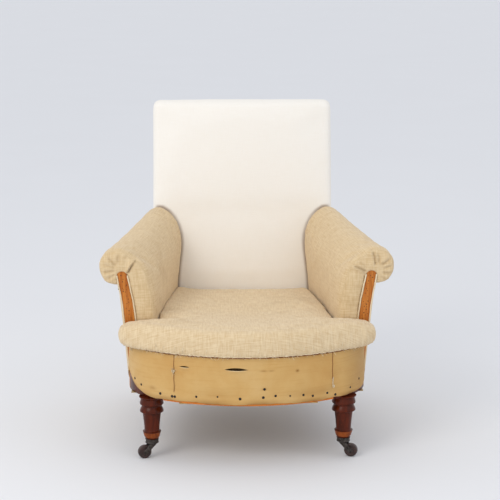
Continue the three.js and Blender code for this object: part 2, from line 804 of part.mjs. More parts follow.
const hatSkirt = 16;           // how far its edge goes down inside the rails
const hatThickness = 2;
const hatTop = seatPadBottom - jointGap;
const hatFrontPoints = 12;
function hatRing(z, frontInset, side, rearY) {
  const half = seatOutline(-frontInset).slice(0, hatFrontPoints);
  const steps = 4;
  for (let i = 0; i <= steps; i += 1) {
    const y = mix(armFrontY - 4, rearY, i / steps);
    half.push([side(y), y]);
  }
  const whole = [...half, ...half.slice(1).reverse().map(([x, y]) => [-x, y])];
  return whole.map(([x, y]) => new THREE.Vector3(x, y, z));
}
function hatBody(inset, drop) {
  const insideRails = railThickness + jointGap + inset;
  const inRail = (y) => sideX(y, -insideRails);
  const inArm = (y) => armInner(y) - 2 - inset;
  const rearLow = postFrontSeat - 4 - inset;
  const rearHigh = backFront(backPadBottom) - backCrown - 4 - inset;
  return loft([
    hatRing(railTop - hatSkirt - drop, insideRails, inRail, rearLow),
    hatRing(railTop - 4, insideRails, inRail, rearLow),
    hatRing(railTop + 8, insideRails, inRail, rearHigh),
    hatRing(hatTop - (drop > 0 ? hatThickness : 0), insideRails - 12, inArm, rearHigh),
  ], onPlan);
}
const blockCutter = (side) => {
  const inner = cornerBlockInner - padGap;
  const [x0, x1] = side > 0 ? [inner, far] : [-far, -inner];
  return box(x0, x1, -far, cornerBlockBack + padGap, 0, railTop + padGap);
};
addPiece('spring_hessian', cut(
  hatBody(0, 0), hatBody(hatThickness, 1), blockCutter(1), blockCutter(-1),
), 'jute');

// Webbing: straps each way under the rails, over and under each other

const webMiddle = railBottom - webSag;
const webLift = webThickness / 2 + jointGap;
const webAtRail = railBottom - jointGap - webThickness / 2;
const webOnRail = 22;          // length of a strap's end under a rail
const strapsLong = [-156, -52, 52, 156];
const strapsCross = [72, 200, 330, 460];
const bowY = (x) => along(seatOutline(0), Math.abs(x));

// A strap's run as [place, height] stations, from rail to rail
function strapStations(start, end, crossings, firstUp) {
  const half = webWidth / 2 + 5;
  const stations = [[start, webAtRail], [start + webOnRail, webAtRail]];
  crossings.forEach((at, i) => {
    const lift = (i % 2 === 0) === firstUp ? webLift : -webLift;
    stations.push([at - half, webMiddle + lift], [at + half, webMiddle + lift]);
  });
  stations.push([end - webOnRail, webAtRail], [end, webAtRail]);
  return stations;
}
strapsLong.forEach((x, i) => {
  const start = bowY(Math.abs(x) - webWidth / 2) + 14;
  const end = postSeatY + 12;
  const rings = strapStations(start, end, strapsCross, i % 2 === 0).map(([y, z]) => crossEnd(
    x - webWidth / 2, x + webWidth / 2, y, z - webThickness / 2, z + webThickness / 2,
  ));
  addPiece(`seat_web_long_${i + 1}`, loft(rings, onFront), 'jute');
});
strapsCross.forEach((y, i) => {
  const reach = sideX(y + webWidth / 2, 0) - 6;
  const rings = strapStations(-reach, reach, strapsLong, i % 2 === 1).map(([x, z]) => [
    new THREE.Vector3(x, y - webWidth / 2, z - webThickness / 2),
    new THREE.Vector3(x, y + webWidth / 2, z - webThickness / 2),
    new THREE.Vector3(x, y + webWidth / 2, z + webThickness / 2),
    new THREE.Vector3(x, y - webWidth / 2, z + webThickness / 2),
  ]);
  addPiece(`seat_web_cross_${i + 1}`, loft(rings, (p) => new THREE.Vector2(p.y, p.z)), 'jute');
});

// Springs: hourglass coils that stand on the webbing and reach the hessian

const springFoot = webMiddle + webLift + webThickness / 2 + jointGap;
const springHead = hatTop - hatThickness - jointGap;
class HourglassCoil extends THREE.Curve {
  getPoint(t) {
    const low = springFoot + springWire / 2 + 0.4;
    const high = springHead - springWire / 2 - 0.4;
    const angle = t * springTurns * 2 * Math.PI;
    const waist = Math.sin(Math.PI * t);
    const radius = mix(springEndRadius, springWaistRadius, waist);
    const flat = Math.sin(2 * Math.PI * t) * 0.07;
    return new THREE.Vector3(
      radius * Math.cos(angle), radius * Math.sin(angle), mix(low, high, t - flat),
    );
  }
}
const wireSides = 5;
const wireSection = new THREE.Shape(Array.from({ length: wireSides }, (_, i) => {
  const angle = (i / wireSides) * Math.PI * 2;
  return new THREE.Vector2(Math.cos(angle), Math.sin(angle)).multiplyScalar(springWire / 2);
}));
const coilSteps = springTurns * 8;
let springCount = 0;
for (const y of springRows) {
  for (const x of springColumns) {
    springCount += 1;
    const coil = new THREE.ExtrudeGeometry(wireSection, {
      steps: coilSteps, bevelEnabled: false, extrudePath: new HourglassCoil(),
    });
    const spring = addPiece(`seat_spring_${springCount}`, coil, 'springSteel');
    spring.position.set(x, y, 0);
  }
}

// Castors
// Each is a cup under the leg, a horn that swivels in it with its axle riveted
// through, and a wheel. Inside a castor's group the wheel trails along X.

function castorCup() {
  const bore = swivelPinRadius + jointGap;
  const foot = castorHeight - cupDepth;
  const top = castorHeight - jointGap;
  return lathe([
    [bore, foot], [cupRadius - 4, foot], [cupRadius - 1, foot + 2], [cupRadius, foot + 5],
    [cupRadius, top - 3], [cupRadius + 1.5, top - 2.5], [cupRadius + 1.5, top], [bore, top], [bore, foot],
  ], 16);
}
function castorHorn() {
  const cupFoot = castorHeight - cupDepth;
  const discTop = cupFoot - jointGap;
  const discFoot = wheelRadius * 2 + 0.9;
  const disc = lathe([
    [0, discFoot], [cupRadius - 6, discFoot], [cupRadius - 5, discTop], [swivelPinRadius, discTop],
    [swivelPinRadius, castorHeight - 2], [0, castorHeight - 2],
  ], 14);
  const boss = axleRadius + 3.5;
  const cheekShape = new THREE.Shape();
  cheekShape.moveTo(-9, discFoot + 1.5);
  cheekShape.lineTo(9, discFoot + 1.5);
  cheekShape.lineTo(castorTrail + boss * Math.SQRT1_2, wheelRadius + boss * Math.SQRT1_2);
  cheekShape.absarc(castorTrail, wheelRadius, boss, Math.PI / 4, -Math.PI * 0.75, true);
  const inner = wheelWidth / 2 + runningGap;
  const cheek = (from) => {
    const plate = new THREE.ExtrudeGeometry(cheekShape, {
      depth: cheekThickness, bevelEnabled: false, curveSegments: 5,
    });
    plate.rotateX(Math.PI / 2);
    plate.translate(0, from + cheekThickness, 0);
    return plate;
  };
  const pin = new THREE.CylinderGeometry(
    axleRadius, axleRadius, (inner + cheekThickness + 1.2) * 2, 10,
  );
  pin.translate(castorTrail, 0, wheelRadius);
  return joined(disc, cheek(inner), cheek(-inner - cheekThickness), pin);
}
const wheelSides = 20;
function castorWheel() {
  const half = wheelWidth / 2;
  const bore = axleRadius + runningGap;
  const wheel = new THREE.LatheGeometry([
    [bore, -half], [wheelRadius - 4, -half], [wheelRadius - 1.2, -half + 1.2], [wheelRadius, -half + 4],
    [wheelRadius, half - 4], [wheelRadius - 1.2, half - 1.2], [wheelRadius - 4, half], [bore, half],
    [bore, -half],
  ].map(([r, y]) => new THREE.Vector2(r, y)), wheelSides);
  wheel.rotateY(Math.PI / wheelSides);
  wheel.translate(castorTrail, 0, wheelRadius);
  return wheel;
}
const castors = [
  // place, X, Y, direction in which the wheel trails
  ['front_left', -legHalfSpacing, legAxisY, 200],
  ['front_right', legHalfSpacing, legAxisY, -20],
  ['back_left', -postHalfSpacingFoot, postFootY, 110],
  ['back_right', postHalfSpacingFoot, postFootY, 70],
];
for (const [place, x, y, trail] of castors) {
  const castor = new THREE.Group();
  castor.position.set(x, y, 0);
  castor.rotation.z = THREE.MathUtils.degToRad(trail);
  addPiece(`castor_cup_${place}`, castorCup(), 'iron', castor);
  addPiece(`castor_horn_${place}`, castorHorn(), 'iron', castor);
  addPiece(`castor_wheel_${place}`, castorWheel(), 'wheel', castor);
  chair.add(castor);
}

// The origin goes under the middle of the whole chair, on the floor
chair.updateMatrixWorld(true);
const bounds = new THREE.Box3().setFromObject(chair, true);
const middle = bounds.getCenter(new THREE.Vector3());
chair.position.set(-middle.x, -middle.y, -bounds.min.z);

export default chair;
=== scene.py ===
# %% [markdown]
# # A stripped armchair on castors
#
# The chair has lost its top cover. What is left shows how such a chair is made: a beech frame,
# webbing and springs, pads stuffed with hair and closed with hessian or calico, and a strip of
# old lining round the bow front. The frame is loaded first, and every visible piece is then
# built around it, in metres, in the same place.

# %% Load the frame
import math
import random

import bmesh
import bpy
import numpy as np
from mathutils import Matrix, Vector
from mathutils.bvhtree import BVHTree


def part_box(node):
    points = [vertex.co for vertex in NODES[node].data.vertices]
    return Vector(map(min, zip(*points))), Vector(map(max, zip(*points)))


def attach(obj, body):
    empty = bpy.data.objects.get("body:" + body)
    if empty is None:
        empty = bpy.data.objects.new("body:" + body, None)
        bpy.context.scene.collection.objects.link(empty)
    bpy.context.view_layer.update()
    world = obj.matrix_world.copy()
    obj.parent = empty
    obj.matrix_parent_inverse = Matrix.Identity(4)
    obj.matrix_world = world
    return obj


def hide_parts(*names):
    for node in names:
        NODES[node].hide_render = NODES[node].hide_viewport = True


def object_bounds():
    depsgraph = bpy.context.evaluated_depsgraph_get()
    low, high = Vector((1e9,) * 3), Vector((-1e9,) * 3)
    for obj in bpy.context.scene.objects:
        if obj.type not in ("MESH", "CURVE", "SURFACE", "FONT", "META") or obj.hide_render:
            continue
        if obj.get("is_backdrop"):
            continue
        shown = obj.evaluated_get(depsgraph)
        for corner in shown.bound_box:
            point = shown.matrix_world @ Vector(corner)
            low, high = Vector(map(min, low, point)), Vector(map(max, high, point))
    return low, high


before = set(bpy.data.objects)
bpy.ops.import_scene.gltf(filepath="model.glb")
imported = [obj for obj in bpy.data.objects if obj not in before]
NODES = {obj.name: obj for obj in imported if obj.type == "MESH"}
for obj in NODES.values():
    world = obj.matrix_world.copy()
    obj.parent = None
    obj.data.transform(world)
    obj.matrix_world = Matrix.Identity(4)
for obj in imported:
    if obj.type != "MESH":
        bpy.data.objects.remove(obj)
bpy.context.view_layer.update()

# %% [markdown]
# ## Places
#
# The chair's own zero is the middle of the line between the front legs, 283 mm in front of the
# middle of its box. Sizes are written in millimetres from that point, as a maker takes them,
# and `y_at`, `z_at` and `place` turn them into metres in the scene.

# %% Millimetres on the chair to metres in the scene
FRONT_SHIFT = -0.2834
DROP = 0.0002


def y_at(y):
    """How far back something lies, in millimetres, as the scene's y."""
    return y / 1000 + FRONT_SHIFT


def z_at(z):
    """A height above the floor in millimetres, as the scene's z."""
    return z / 1000 - DROP


def place(x, y, z):
    """A point of the chair in millimetres, as metres in the scene."""
    return (x / 1000, y_at(y), z_at(z))


def ease(t):
    """Rises smoothly from 0 to 1 while t goes from 0 to 1. Works on arrays too."""
    t = np.clip(t, 0, 1)
    return t * t * (3 - 2 * t)


# The seat's plan: a long bow of this radius, a wide corner, then straight sides
BOW = 0.4290
CORNER = 0.180
SIDE = 0.318
BOW_MIDDLE = y_at(-100) + BOW
print("front of the bow at y =", round(y_at(-100), 4))

# %% [markdown]
# ## A small kit for node materials
#
# One function adds any shader node, sets its properties and fills its sockets. A socket gets a
# value or another node's output. Colours are written as sRGB hex and turned into linear light.
# A Mix node has sockets for every kind of data: for colours, socket 0 is the share of the
# second colour, 6 and 7 are the two colours, and output 2 is the result.

# %% One function for every node
def srgb(code):
    """An sRGB hex colour as linear red, green, blue and full alpha."""
    parts = [int(code[i:i + 2], 16) / 255 for i in (0, 2, 4)]
    return tuple(c / 12.92 if c <= 0.04045 else ((c + 0.055) / 1.055) ** 2.4 for c in parts) + (1,)


def node(tree, kind, inputs=None, stops=None, **settings):
    """Adds a node. inputs maps socket names or numbers to values or outputs."""
    made = tree.nodes.new(kind)
    for key, value in settings.items():
        setattr(made, key, value)
    for key, value in (inputs or {}).items():
        socket = made.inputs[key]
        if isinstance(value, bpy.types.NodeSocket):
            tree.links.new(value, socket)
        else:
            socket.default_value = value
    for i, (at, colour) in enumerate(stops or []):
        steps = made.color_ramp.elements
        step = steps[i] if i < 2 else steps.new(at)
        step.position = at
        step.color = srgb(colour)
    return made


def material(name, **sockets):
    """An empty material with one shader; returns it with its tree and the shader."""
    made = bpy.data.materials.new(name)
    made.use_nodes = True
    tree = made.node_tree
    tree.nodes.clear()
    shader = node(tree, "ShaderNodeBsdfPrincipled", sockets)
    node(tree, "ShaderNodeOutputMaterial", {"Surface": shader.outputs[0]})
    return made, tree, shader


# A band of the wave texture is this long in metres when its scale is 1
WAVE_UNIT = math.pi / 10
print("material kit ready; threads 3.4 mm apart need wave scale", round(WAVE_UNIT / 0.0034, 1))

# %% [markdown]
# ## Cloths
#
# Hessian is a plain weave of thick and thin jute. Each pad carries a point attribute called
# `cloth` that gives every point its place on the cloth in metres, so the threads follow the
# form. Two noise patterns stretched along the threads give the slubs, and two wave patterns
# give the threads themselves. Real threads are about 2.2 mm apart. They are drawn at 3.4 mm,
# because finer ones can't be told apart in the picture.

# %% Woven cloth
def woven(name, light, dark, pitch, slub, relief, soil, roughness=0.92, sheen=0.2,
          on_object=False):
    """A plain-woven cloth. slub is how uneven its threads are, from 0 to 1."""
    made, tree, shader = material(name, **{"Roughness": roughness, "Sheen Weight": sheen,
                                           "Sheen Roughness": 0.55, "Specular IOR Level": 0.12})
    cloth = node(tree, "ShaderNodeAttribute", attribute_name="cloth").outputs["Vector"]
    if on_object:
        cloth = node(tree, "ShaderNodeTexCoord").outputs["Object"]
    bands = []
    slubs = []
    for axis, stretch in (("X", (0.9 / pitch, 26, 1)), ("Y", (26, 0.9 / pitch, 1))):
        wave = node(tree, "ShaderNodeTexWave", {
            "Vector": cloth, "Scale": WAVE_UNIT / pitch, "Distortion": 1.4, "Detail": 1.0,
            "Detail Scale": 0.35}, bands_direction=axis)
        bands.append(wave.outputs["Fac"])
        along = node(tree, "ShaderNodeMapping", {"Vector": cloth, "Scale": stretch})
        uneven = node(tree, "ShaderNodeTexNoise", {
            "Vector": along.outputs[0], "Scale": 1.0, "Detail": 2.0, "Roughness": 0.6})
        slubs.append(uneven.outputs["Fac"])
    threads = node(tree, "ShaderNodeMath", {
        0: bands[0], 1: bands[1]}, operation="MAXIMUM").outputs[0]
    uneven = node(tree, "ShaderNodeMath", {0: slubs[0], 1: slubs[1]}, operation="ADD").outputs[0]
    tone = node(tree, "ShaderNodeMapRange", {
        "Value": uneven, "From Min": 0.78, "From Max": 1.22, "To Min": 0.5 - slub / 2,
        "To Max": 0.5 + slub / 2})
    ground = node(tree, "ShaderNodeValToRGB", {"Fac": tone.outputs[0]}, stops=[
        (0, dark), (1, light)])
    crossing = node(tree, "ShaderNodeValToRGB", {"Fac": threads}, stops=[
        (0.1, dark), (0.75, light)])
    where = node(tree, "ShaderNodeTexCoord").outputs["Object"]
    patches = node(tree, "ShaderNodeTexNoise", {
        "Vector": where, "Scale": 7.0, "Detail": 5.0, "Roughness": 0.65})
    dirt = node(tree, "ShaderNodeMapRange", {
        "Value": patches.outputs["Fac"], "From Min": 0.54, "From Max": 0.8, "To Max": 0.45})
    # A point attribute paints shade: it darkens the valleys of folds and the lines along other
    # pieces
    crease_shade = node(tree, "ShaderNodeAttribute", attribute_name="crease_shade")
    colour = ground.outputs[0]
    for share, over in ((0.22, crossing.outputs[0]), (dirt.outputs[0], srgb(soil)),
                        (crease_shade.outputs["Fac"], srgb("7d5a30"))):
        colour = node(tree, "ShaderNodeMix", {
            0: share, 6: colour, 7: over}, data_type="RGBA").outputs[2]
    tree.links.new(colour, shader.inputs["Base Color"])
    height = node(tree, "ShaderNodeMath", {0: uneven, 1: threads}, operation="ADD").outputs[0]
    bump = node(tree, "ShaderNodeBump", {"Height": height, "Strength": 0.6, "Distance": relief})
    tree.links.new(bump.outputs[0], shader.inputs["Normal"])
    return made


HESSIAN_PITCH = 0.0034
CALICO_PITCH = 0.0016
# Jute hessian is matt and uneven: its slubs catch the light, and dust dulls it in patches
HESSIAN = woven("jute hessian, unbleached and dusty", "e8d3ae", "bf9f6e",
                pitch=HESSIAN_PITCH, slub=0.5, relief=0.0006, soil="ab8a5a")
# On the seat the same cloth is rubbed paler
HESSIAN_SEAT = woven("jute hessian of the seat, rubbed pale", "ecd9b6", "c2a274",
                     pitch=HESSIAN_PITCH, slub=0.55, relief=0.0006, soil="a98a58")
# New calico is close, even and nearly white, so the eye sees its soft shade and hardly any
# thread. It is woven about 0.9 mm apart and drawn wider for the same reason as the hessian
CALICO = woven("new unbleached calico", "f5f2ec", "ede7dd", pitch=CALICO_PITCH, slub=0.3,
               relief=0.00012, soil="eee8de", roughness=0.88, sheen=0.1)
print("cloths:", HESSIAN.name, "|", CALICO.name)

# %% [markdown]
# The front border is old cotton lining, gone ochre with age. Its stains, a painted shade towards
# its right end, and the rubbed lips of its tears come from two point attributes that are worked out
# when the border is built.

# %% The old lining
LINING_PITCH = 0.0018


def old_lining():
    """Yellowed cotton with stains, rubbed places, a soiled hem and painted shade towards its right
    end.
    """
    made, tree, shader = material("old cotton lining, yellowed and stained", **{
        "Roughness": 0.9, "Sheen Weight": 0.12, "Sheen Roughness": 0.5, "Specular IOR Level": 0.15})
    cloth = node(tree, "ShaderNodeAttribute", attribute_name="cloth").outputs["Vector"]
    large = node(tree, "ShaderNodeTexNoise", {
        "Vector": cloth, "Scale": 5.5, "Detail": 6.0, "Roughness": 0.6, "Distortion": 0.4})
    ground = node(tree, "ShaderNodeValToRGB", {"Fac": large.outputs["Fac"]}, stops=[
        (0.3, "c6995a"), (0.7, "d6b47c"), (0.5, "cea76a")])
    streaks = node(tree, "ShaderNodeMapping", {"Vector": cloth, "Scale": (9, 160, 1)})
    streak = node(tree, "ShaderNodeTexNoise", {
        "Vector": streaks.outputs[0], "Scale": 1.0, "Detail": 3.0, "Roughness": 0.6})
    creased = node(tree, "ShaderNodeMapRange", {
        "Value": streak.outputs["Fac"], "From Min": 0.52, "From Max": 0.75, "To Max": 0.35})
    # The stain attribute also carries painted shade towards the border's right end, which turns
    # away from the light
    stain_and_shade = node(tree, "ShaderNodeAttribute", attribute_name="stain_and_shade")
    lip = node(tree, "ShaderNodeAttribute", attribute_name="lip")
    colour = ground.outputs[0]
    for share, over in ((creased.outputs[0], "bd8c4c"), (stain_and_shade.outputs["Fac"], "825420"),
                        (lip.outputs["Fac"], "f0dcb4")):
        colour = node(tree, "ShaderNodeMix", {
            0: share, 6: colour, 7: srgb(over)}, data_type="RGBA").outputs[2]
    tree.links.new(colour, shader.inputs["Base Color"])
    waves = []
    for axis in ("X", "Y"):
        waves.append(node(tree, "ShaderNodeTexWave", {
            "Vector": cloth, "Scale": WAVE_UNIT / LINING_PITCH, "Distortion": 1.0,
            "Detail": 1.0}, bands_direction=axis).outputs["Fac"])
    weave = node(tree, "ShaderNodeMath", {0: waves[0], 1: waves[1]}, operation="MAXIMUM").outputs[0]
    relief = node(tree, "ShaderNodeMath", {
        0: streak.outputs["Fac"], 1: weave}, operation="MULTIPLY")
    bump = node(tree, "ShaderNodeBump", {
        "Height": relief.outputs[0], "Strength": 0.45, "Distance": 0.0005})
    tree.links.new(bump.outputs[0], shader.inputs["Normal"])
    return made


OLD_LINING = old_lining()
print("border cloth:", OLD_LINING.name)

# %% [markdown]
# ## Wood, iron and thread
#
# The grain of a rail runs along its length, so each wood takes the direction as a stretch of
# its noise. The legs are stained dark and polished, and worn lighter in places.

# %% Woods
def wood(name, light, dark, scratch, stretch, roughness, coat, worn=0.3):
    """Grained wood. stretch is the noise scale along x, y and z: small along the grain."""
    made, tree, shader = material(name, **{"Roughness": roughness, "Coat Weight": coat,
                                           "Coat Roughness": 0.12, "Specular IOR Level": 0.15})
    where = node(tree, "ShaderNodeTexCoord").outputs["Object"]
    along = node(tree, "ShaderNodeMapping", {"Vector": where, "Scale": stretch}).outputs[0]
    grain = node(tree, "ShaderNodeTexNoise", {
        "Vector": along, "Scale": 1.0, "Detail": 6.0, "Roughness": 0.62, "Distortion": 0.7})
    figure = node(tree, "ShaderNodeValToRGB", {"Fac": grain.outputs["Fac"]}, stops=[
        (0.3, dark), (0.68, light)])
    # Knocks about 8 mm apart, in patches of about 45 mm
    knocks = node(tree, "ShaderNodeTexVoronoi", {
        "Vector": where, "Scale": 130.0, "Randomness": 1.0})
    marked = node(tree, "ShaderNodeMapRange", {
        "Value": knocks.outputs["Distance"], "From Min": 0.1, "From Max": 0.2, "To Min": worn,
        "To Max": 0.0})
    patches = node(tree, "ShaderNodeTexNoise", {"Vector": where, "Scale": 22.0, "Detail": 3.0})
    chosen = node(tree, "ShaderNodeMapRange", {
        "Value": patches.outputs["Fac"], "From Min": 0.5, "From Max": 0.6})
    marks = node(tree, "ShaderNodeMath", {0: marked.outputs[0], 1: chosen.outputs[0]},
                 operation="MULTIPLY")
    scratched = node(tree, "ShaderNodeMix", {
        0: marks.outputs[0], 6: figure.outputs[0], 7: srgb(scratch)}, data_type="RGBA")
    tree.links.new(scratched.outputs[2], shader.inputs["Base Color"])
    bump = node(tree, "ShaderNodeBump", {
        "Height": grain.outputs["Fac"], "Strength": 0.3, "Distance": 0.0006})
    tree.links.new(bump.outputs[0], shader.inputs["Normal"])
    return made


# A noise scale of 150 sets the grain about 7 mm apart, and one of 9 draws it out to 110 mm
UPRIGHT = (150, 150, 9)
ACROSS = (9, 150, 150)
BACKWARD = (150, 9, 150)
# Planed beech under a thin old varnish: orange, half glossy, pricked by tacks
FACING = wood("bare beech facing, old varnish and tack holes", "d0873c", "9e521a", "552307",
              (170, 170, 11), roughness=0.5, coat=0.12, worn=0.8)
# Raw beech is dry, brown and matt. There is one for each direction of the grain
BEECH_UPRIGHT, BEECH_ACROSS, BEECH_BACKWARD = (
    wood(f"raw beech, grain {way}", "c98f58", "9b6030", "6b3d1a", stretch, roughness=0.62, coat=0.0)
    for way, stretch in (("upright", UPRIGHT), ("across", ACROSS), ("front to back", BACKWARD)))
# The front rail kept its varnish, so its lower edge glows orange under the lining
BEECH_SHOWN = wood("beech under the border, varnish left on it", "e08a3c", "b8641f", "6b2f10",
                   ACROSS, roughness=0.5, coat=0.1)
# Turned wood, stained red-brown and polished: dark, with small sharp highlights on its rings
MAHOGANY = wood("stained and polished leg", "5e2006", "340f03", "8a4520",
                (60, 60, 12), roughness=0.3, coat=0.1, worn=0.4)
# The lowest collar has lost its stain to knocks and shows orange wood
WORN_COLLAR = wood("leg collar, its stain worn to orange", "9a4c18", "5c260a", "3a1206",
                   (60, 60, 30), roughness=0.45, coat=0.1, worn=0.6)
print("woods:", len(bpy.data.materials), "materials so far")

# %% Mottled finishes
def mottled(name, light, dark, metallic, roughness, scale):
    """A finish with patches of a second tone: old metal, a waxed wheel, twine."""
    made, tree, shader = material(name, Metallic=metallic, Roughness=roughness)
    where = node(tree, "ShaderNodeTexCoord").outputs["Object"]
    patches = node(tree, "ShaderNodeTexNoise", {
        "Vector": where, "Scale": scale, "Detail": 6.0, "Roughness": 0.7})
    tone = node(tree, "ShaderNodeValToRGB", {"Fac": patches.outputs["Fac"]}, stops=[
        (0.36, dark), (0.66, light)])
    tree.links.new(tone.outputs[0], shader.inputs["Base Color"])
    bump = node(tree, "ShaderNodeBump", {
        "Height": patches.outputs["Fac"], "Strength": 0.25, "Distance": 0.0004})
    tree.links.new(bump.outputs[0], shader.inputs["Normal"])
    return made


# Forged iron, blackened: dark, with a dull gleam on its rubbed edges
IRON = mottled("blackened castor iron", "5c5550", "1c1613", 0.7, 0.34, 160)
# A waxed hardwood wheel: nearly black, with one soft highlight
WHEEL = mottled("turned hardwood castor wheel, waxed", "432a24", "1e110e", 0.0, 0.4, 120)
# Blued tacks read as dark dots with a faint gleam
TACK = mottled("blued cut tack", "3d3836", "191516", 0.6, 0.5, 300)
# Coppered wire gone dull: warm grey and half glossy
STEEL = mottled("spring steel, coppered and dulled", "a5836a", "5b463a", 0.8, 0.45, 90)
# Waxed linen twine: pale and matt
TWINE = mottled("waxed linen twine", "efe4cb", "bfa77c", 0.0, 0.85, 600)
print("with metal and thread:", len(bpy.data.materials), "materials so far")

# %% [markdown]
# ## Meshes in and out
#
# Three small tools: a clean copy of a frame node, a new piece from points and faces, and the
# step that turns an object's modifiers into plain mesh.

# %% Mesh tools
def linked(name, mesh):
    """A new object that holds a mesh, in the scene."""
    made = bpy.data.objects.new(name, mesh)
    bpy.context.scene.collection.objects.link(made)
    return made


def piece_from(name, points, faces, finish):
    """A new piece from its points and faces, with smooth shading."""
    mesh = bpy.data.meshes.new(name)
    mesh.from_pydata([tuple(map(float, p)) for p in points], [], faces)
    mesh.validate()
    made = linked(name, mesh)
    mesh.materials.append(finish)
    mesh.shade_smooth()
    return made


def copy_of(node_name, name, finish, flat_angle=2):
    """A joined copy of a frame node, its flat sides without inner edges."""
    edit = bmesh.new()
    edit.from_mesh(NODES[node_name].data)
    bmesh.ops.remove_doubles(edit, verts=edit.verts, dist=2e-5)
    bmesh.ops.dissolve_limit(
        edit, angle_limit=math.radians(flat_angle), verts=edit.verts, edges=edit.edges)
    edit.verts.index_update()
    points = [v.co[:] for v in edit.verts]
    faces = [[v.index for v in f.verts] for f in edit.faces]
    edit.free()
    return piece_from(name, points, faces, finish)


def baked(obj):
    """Makes the object's modifiers part of its mesh."""
    seen = obj.evaluated_get(bpy.context.evaluated_depsgraph_get())
    mesh = bpy.data.meshes.new_from_object(seen)
    obj.modifiers.clear()
    obj.data = mesh
    return obj


def points_of(obj):
    """The points of an object's mesh, as an array."""
    points = np.zeros(len(obj.data.vertices) * 3)
    obj.data.vertices.foreach_get("co", points)
    return points.reshape(-1, 3)


def normals_of(obj):
    """The normals at the points of an object's mesh, as an array."""
    out = np.zeros(len(obj.data.vertices) * 3)
    obj.data.vertices.foreach_get("normal", out)
    return out.reshape(-1, 3)


def set_points(obj, points):
    """Puts changed points back."""
    obj.data.vertices.foreach_set("co", points.ravel())
    obj.data.update()


def set_attribute(obj, name, values):
    """A point attribute: a vector if the values have three columns, a number if they don't."""
    vector = values.ndim == 2
    made = obj.data.attributes.new(name, "FLOAT_VECTOR" if vector else "FLOAT", "POINT")
    made.data.foreach_set("vector" if vector else "value", values.astype(float).ravel())


def modifier(obj, kind, **settings):
    """Adds a modifier with its settings."""
    made = obj.modifiers.new(kind.lower(), kind)
    for key, value in settings.items():
        setattr(made, key, value)
    return made


print("mesh tools ready")

# %% [markdown]
# ## Stuffed pads
#
# Each pad starts as a copy of its frame solid. A voxel remesh gives it even faces, a short
# cloth simulation with air pressure swells it like stuffing under cloth, and points near the
# frame, or near a neighbour, are pinned so that it stays where it is nailed. How far any point
# may move is capped. Then it is smoothed and subdivided once.

# %% Distances and contact lines
# Points of a pad that are this near to a neighbour don't move
NAILED_WITHIN = 0.012


def gap_to(points, names, reach):
    """Each point's distance to the nearest of the named frame nodes, and at most reach."""
    gap = np.full(len(points), reach)
    for name in names:
        mesh = NODES[name].data
        tree = BVHTree.FromPolygons(
            [v.co[:] for v in mesh.vertices], [p.vertices[:] for p in mesh.polygons])
        low, high = (np.array(corner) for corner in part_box(name))
        inside = np.all((points > low - reach) & (points < high + reach), axis=1)
        for i in np.nonzero(inside)[0]:
            found = tree.find_nearest(Vector(points[i]), gap[i])
            gap[i] = gap[i] if found[0] is None else found[3]
    return gap


def contact_shade(points, names, reach=0.012, depth=0.0045, strength=0.7):
    """Painted shade: how dark the cloth is drawn where it meets its neighbours."""
    return strength * np.exp(-(gap_to(points, names, reach) / depth) ** 2)


print("contact lines ready")


# %% A short cloth simulation
def evened(obj, values, rounds):
    """Values at the points, each averaged with its neighbours' a number of times."""
    edges = np.zeros(len(obj.data.edges) * 2, int)
    obj.data.edges.foreach_get("vertices", edges)
    first, second = edges.reshape(-1, 2).T
    count = np.bincount(edges, minlength=len(values))[:, None]
    for _ in range(rounds):
        total = np.zeros_like(values)
        np.add.at(total, first, values[second])
        np.add.at(total, second, values[first])
        values = (values + total / count) / 2
    return values


SWELL_STEPS = 20


def swell(obj, pinned, cap, even, pressure=4.0):
    """Some steps of cloth under air pressure, with no point moved further than cap."""
    start = points_of(obj)
    group = obj.vertex_groups.new(name="nailed")
    group.add([int(i) for i in np.nonzero(pinned)[0]], 1.0, "REPLACE")
    cloth = modifier(obj, "CLOTH")
    cloth.settings.quality = 4
    cloth.settings.mass = 0.3
    cloth.settings.tension_stiffness = 12
    cloth.settings.compression_stiffness = 12
    cloth.settings.bending_stiffness = 0.8
    cloth.settings.use_pressure = True
    cloth.settings.uniform_pressure_force = pressure
    cloth.settings.effector_weights.gravity = 0
    cloth.settings.vertex_group_mass = "nailed"
    cloth.collision_settings.use_collision = False
    cloth.point_cache.frame_start = 1
    cloth.point_cache.frame_end = SWELL_STEPS
    for step in range(1, SWELL_STEPS + 1):
        bpy.context.scene.frame_set(step)
    baked(obj)
    bpy.context.scene.frame_set(1)
    obj.vertex_groups.clear()
    moved = points_of(obj) - start
    length = np.linalg.norm(moved, axis=1, keepdims=True)
    moved *= np.minimum(1, cap / np.maximum(length, 1e-9))
    set_points(obj, start + evened(obj, moved, even))
    return float(length.max())


print("the cloth swells in", SWELL_STEPS, "steps")


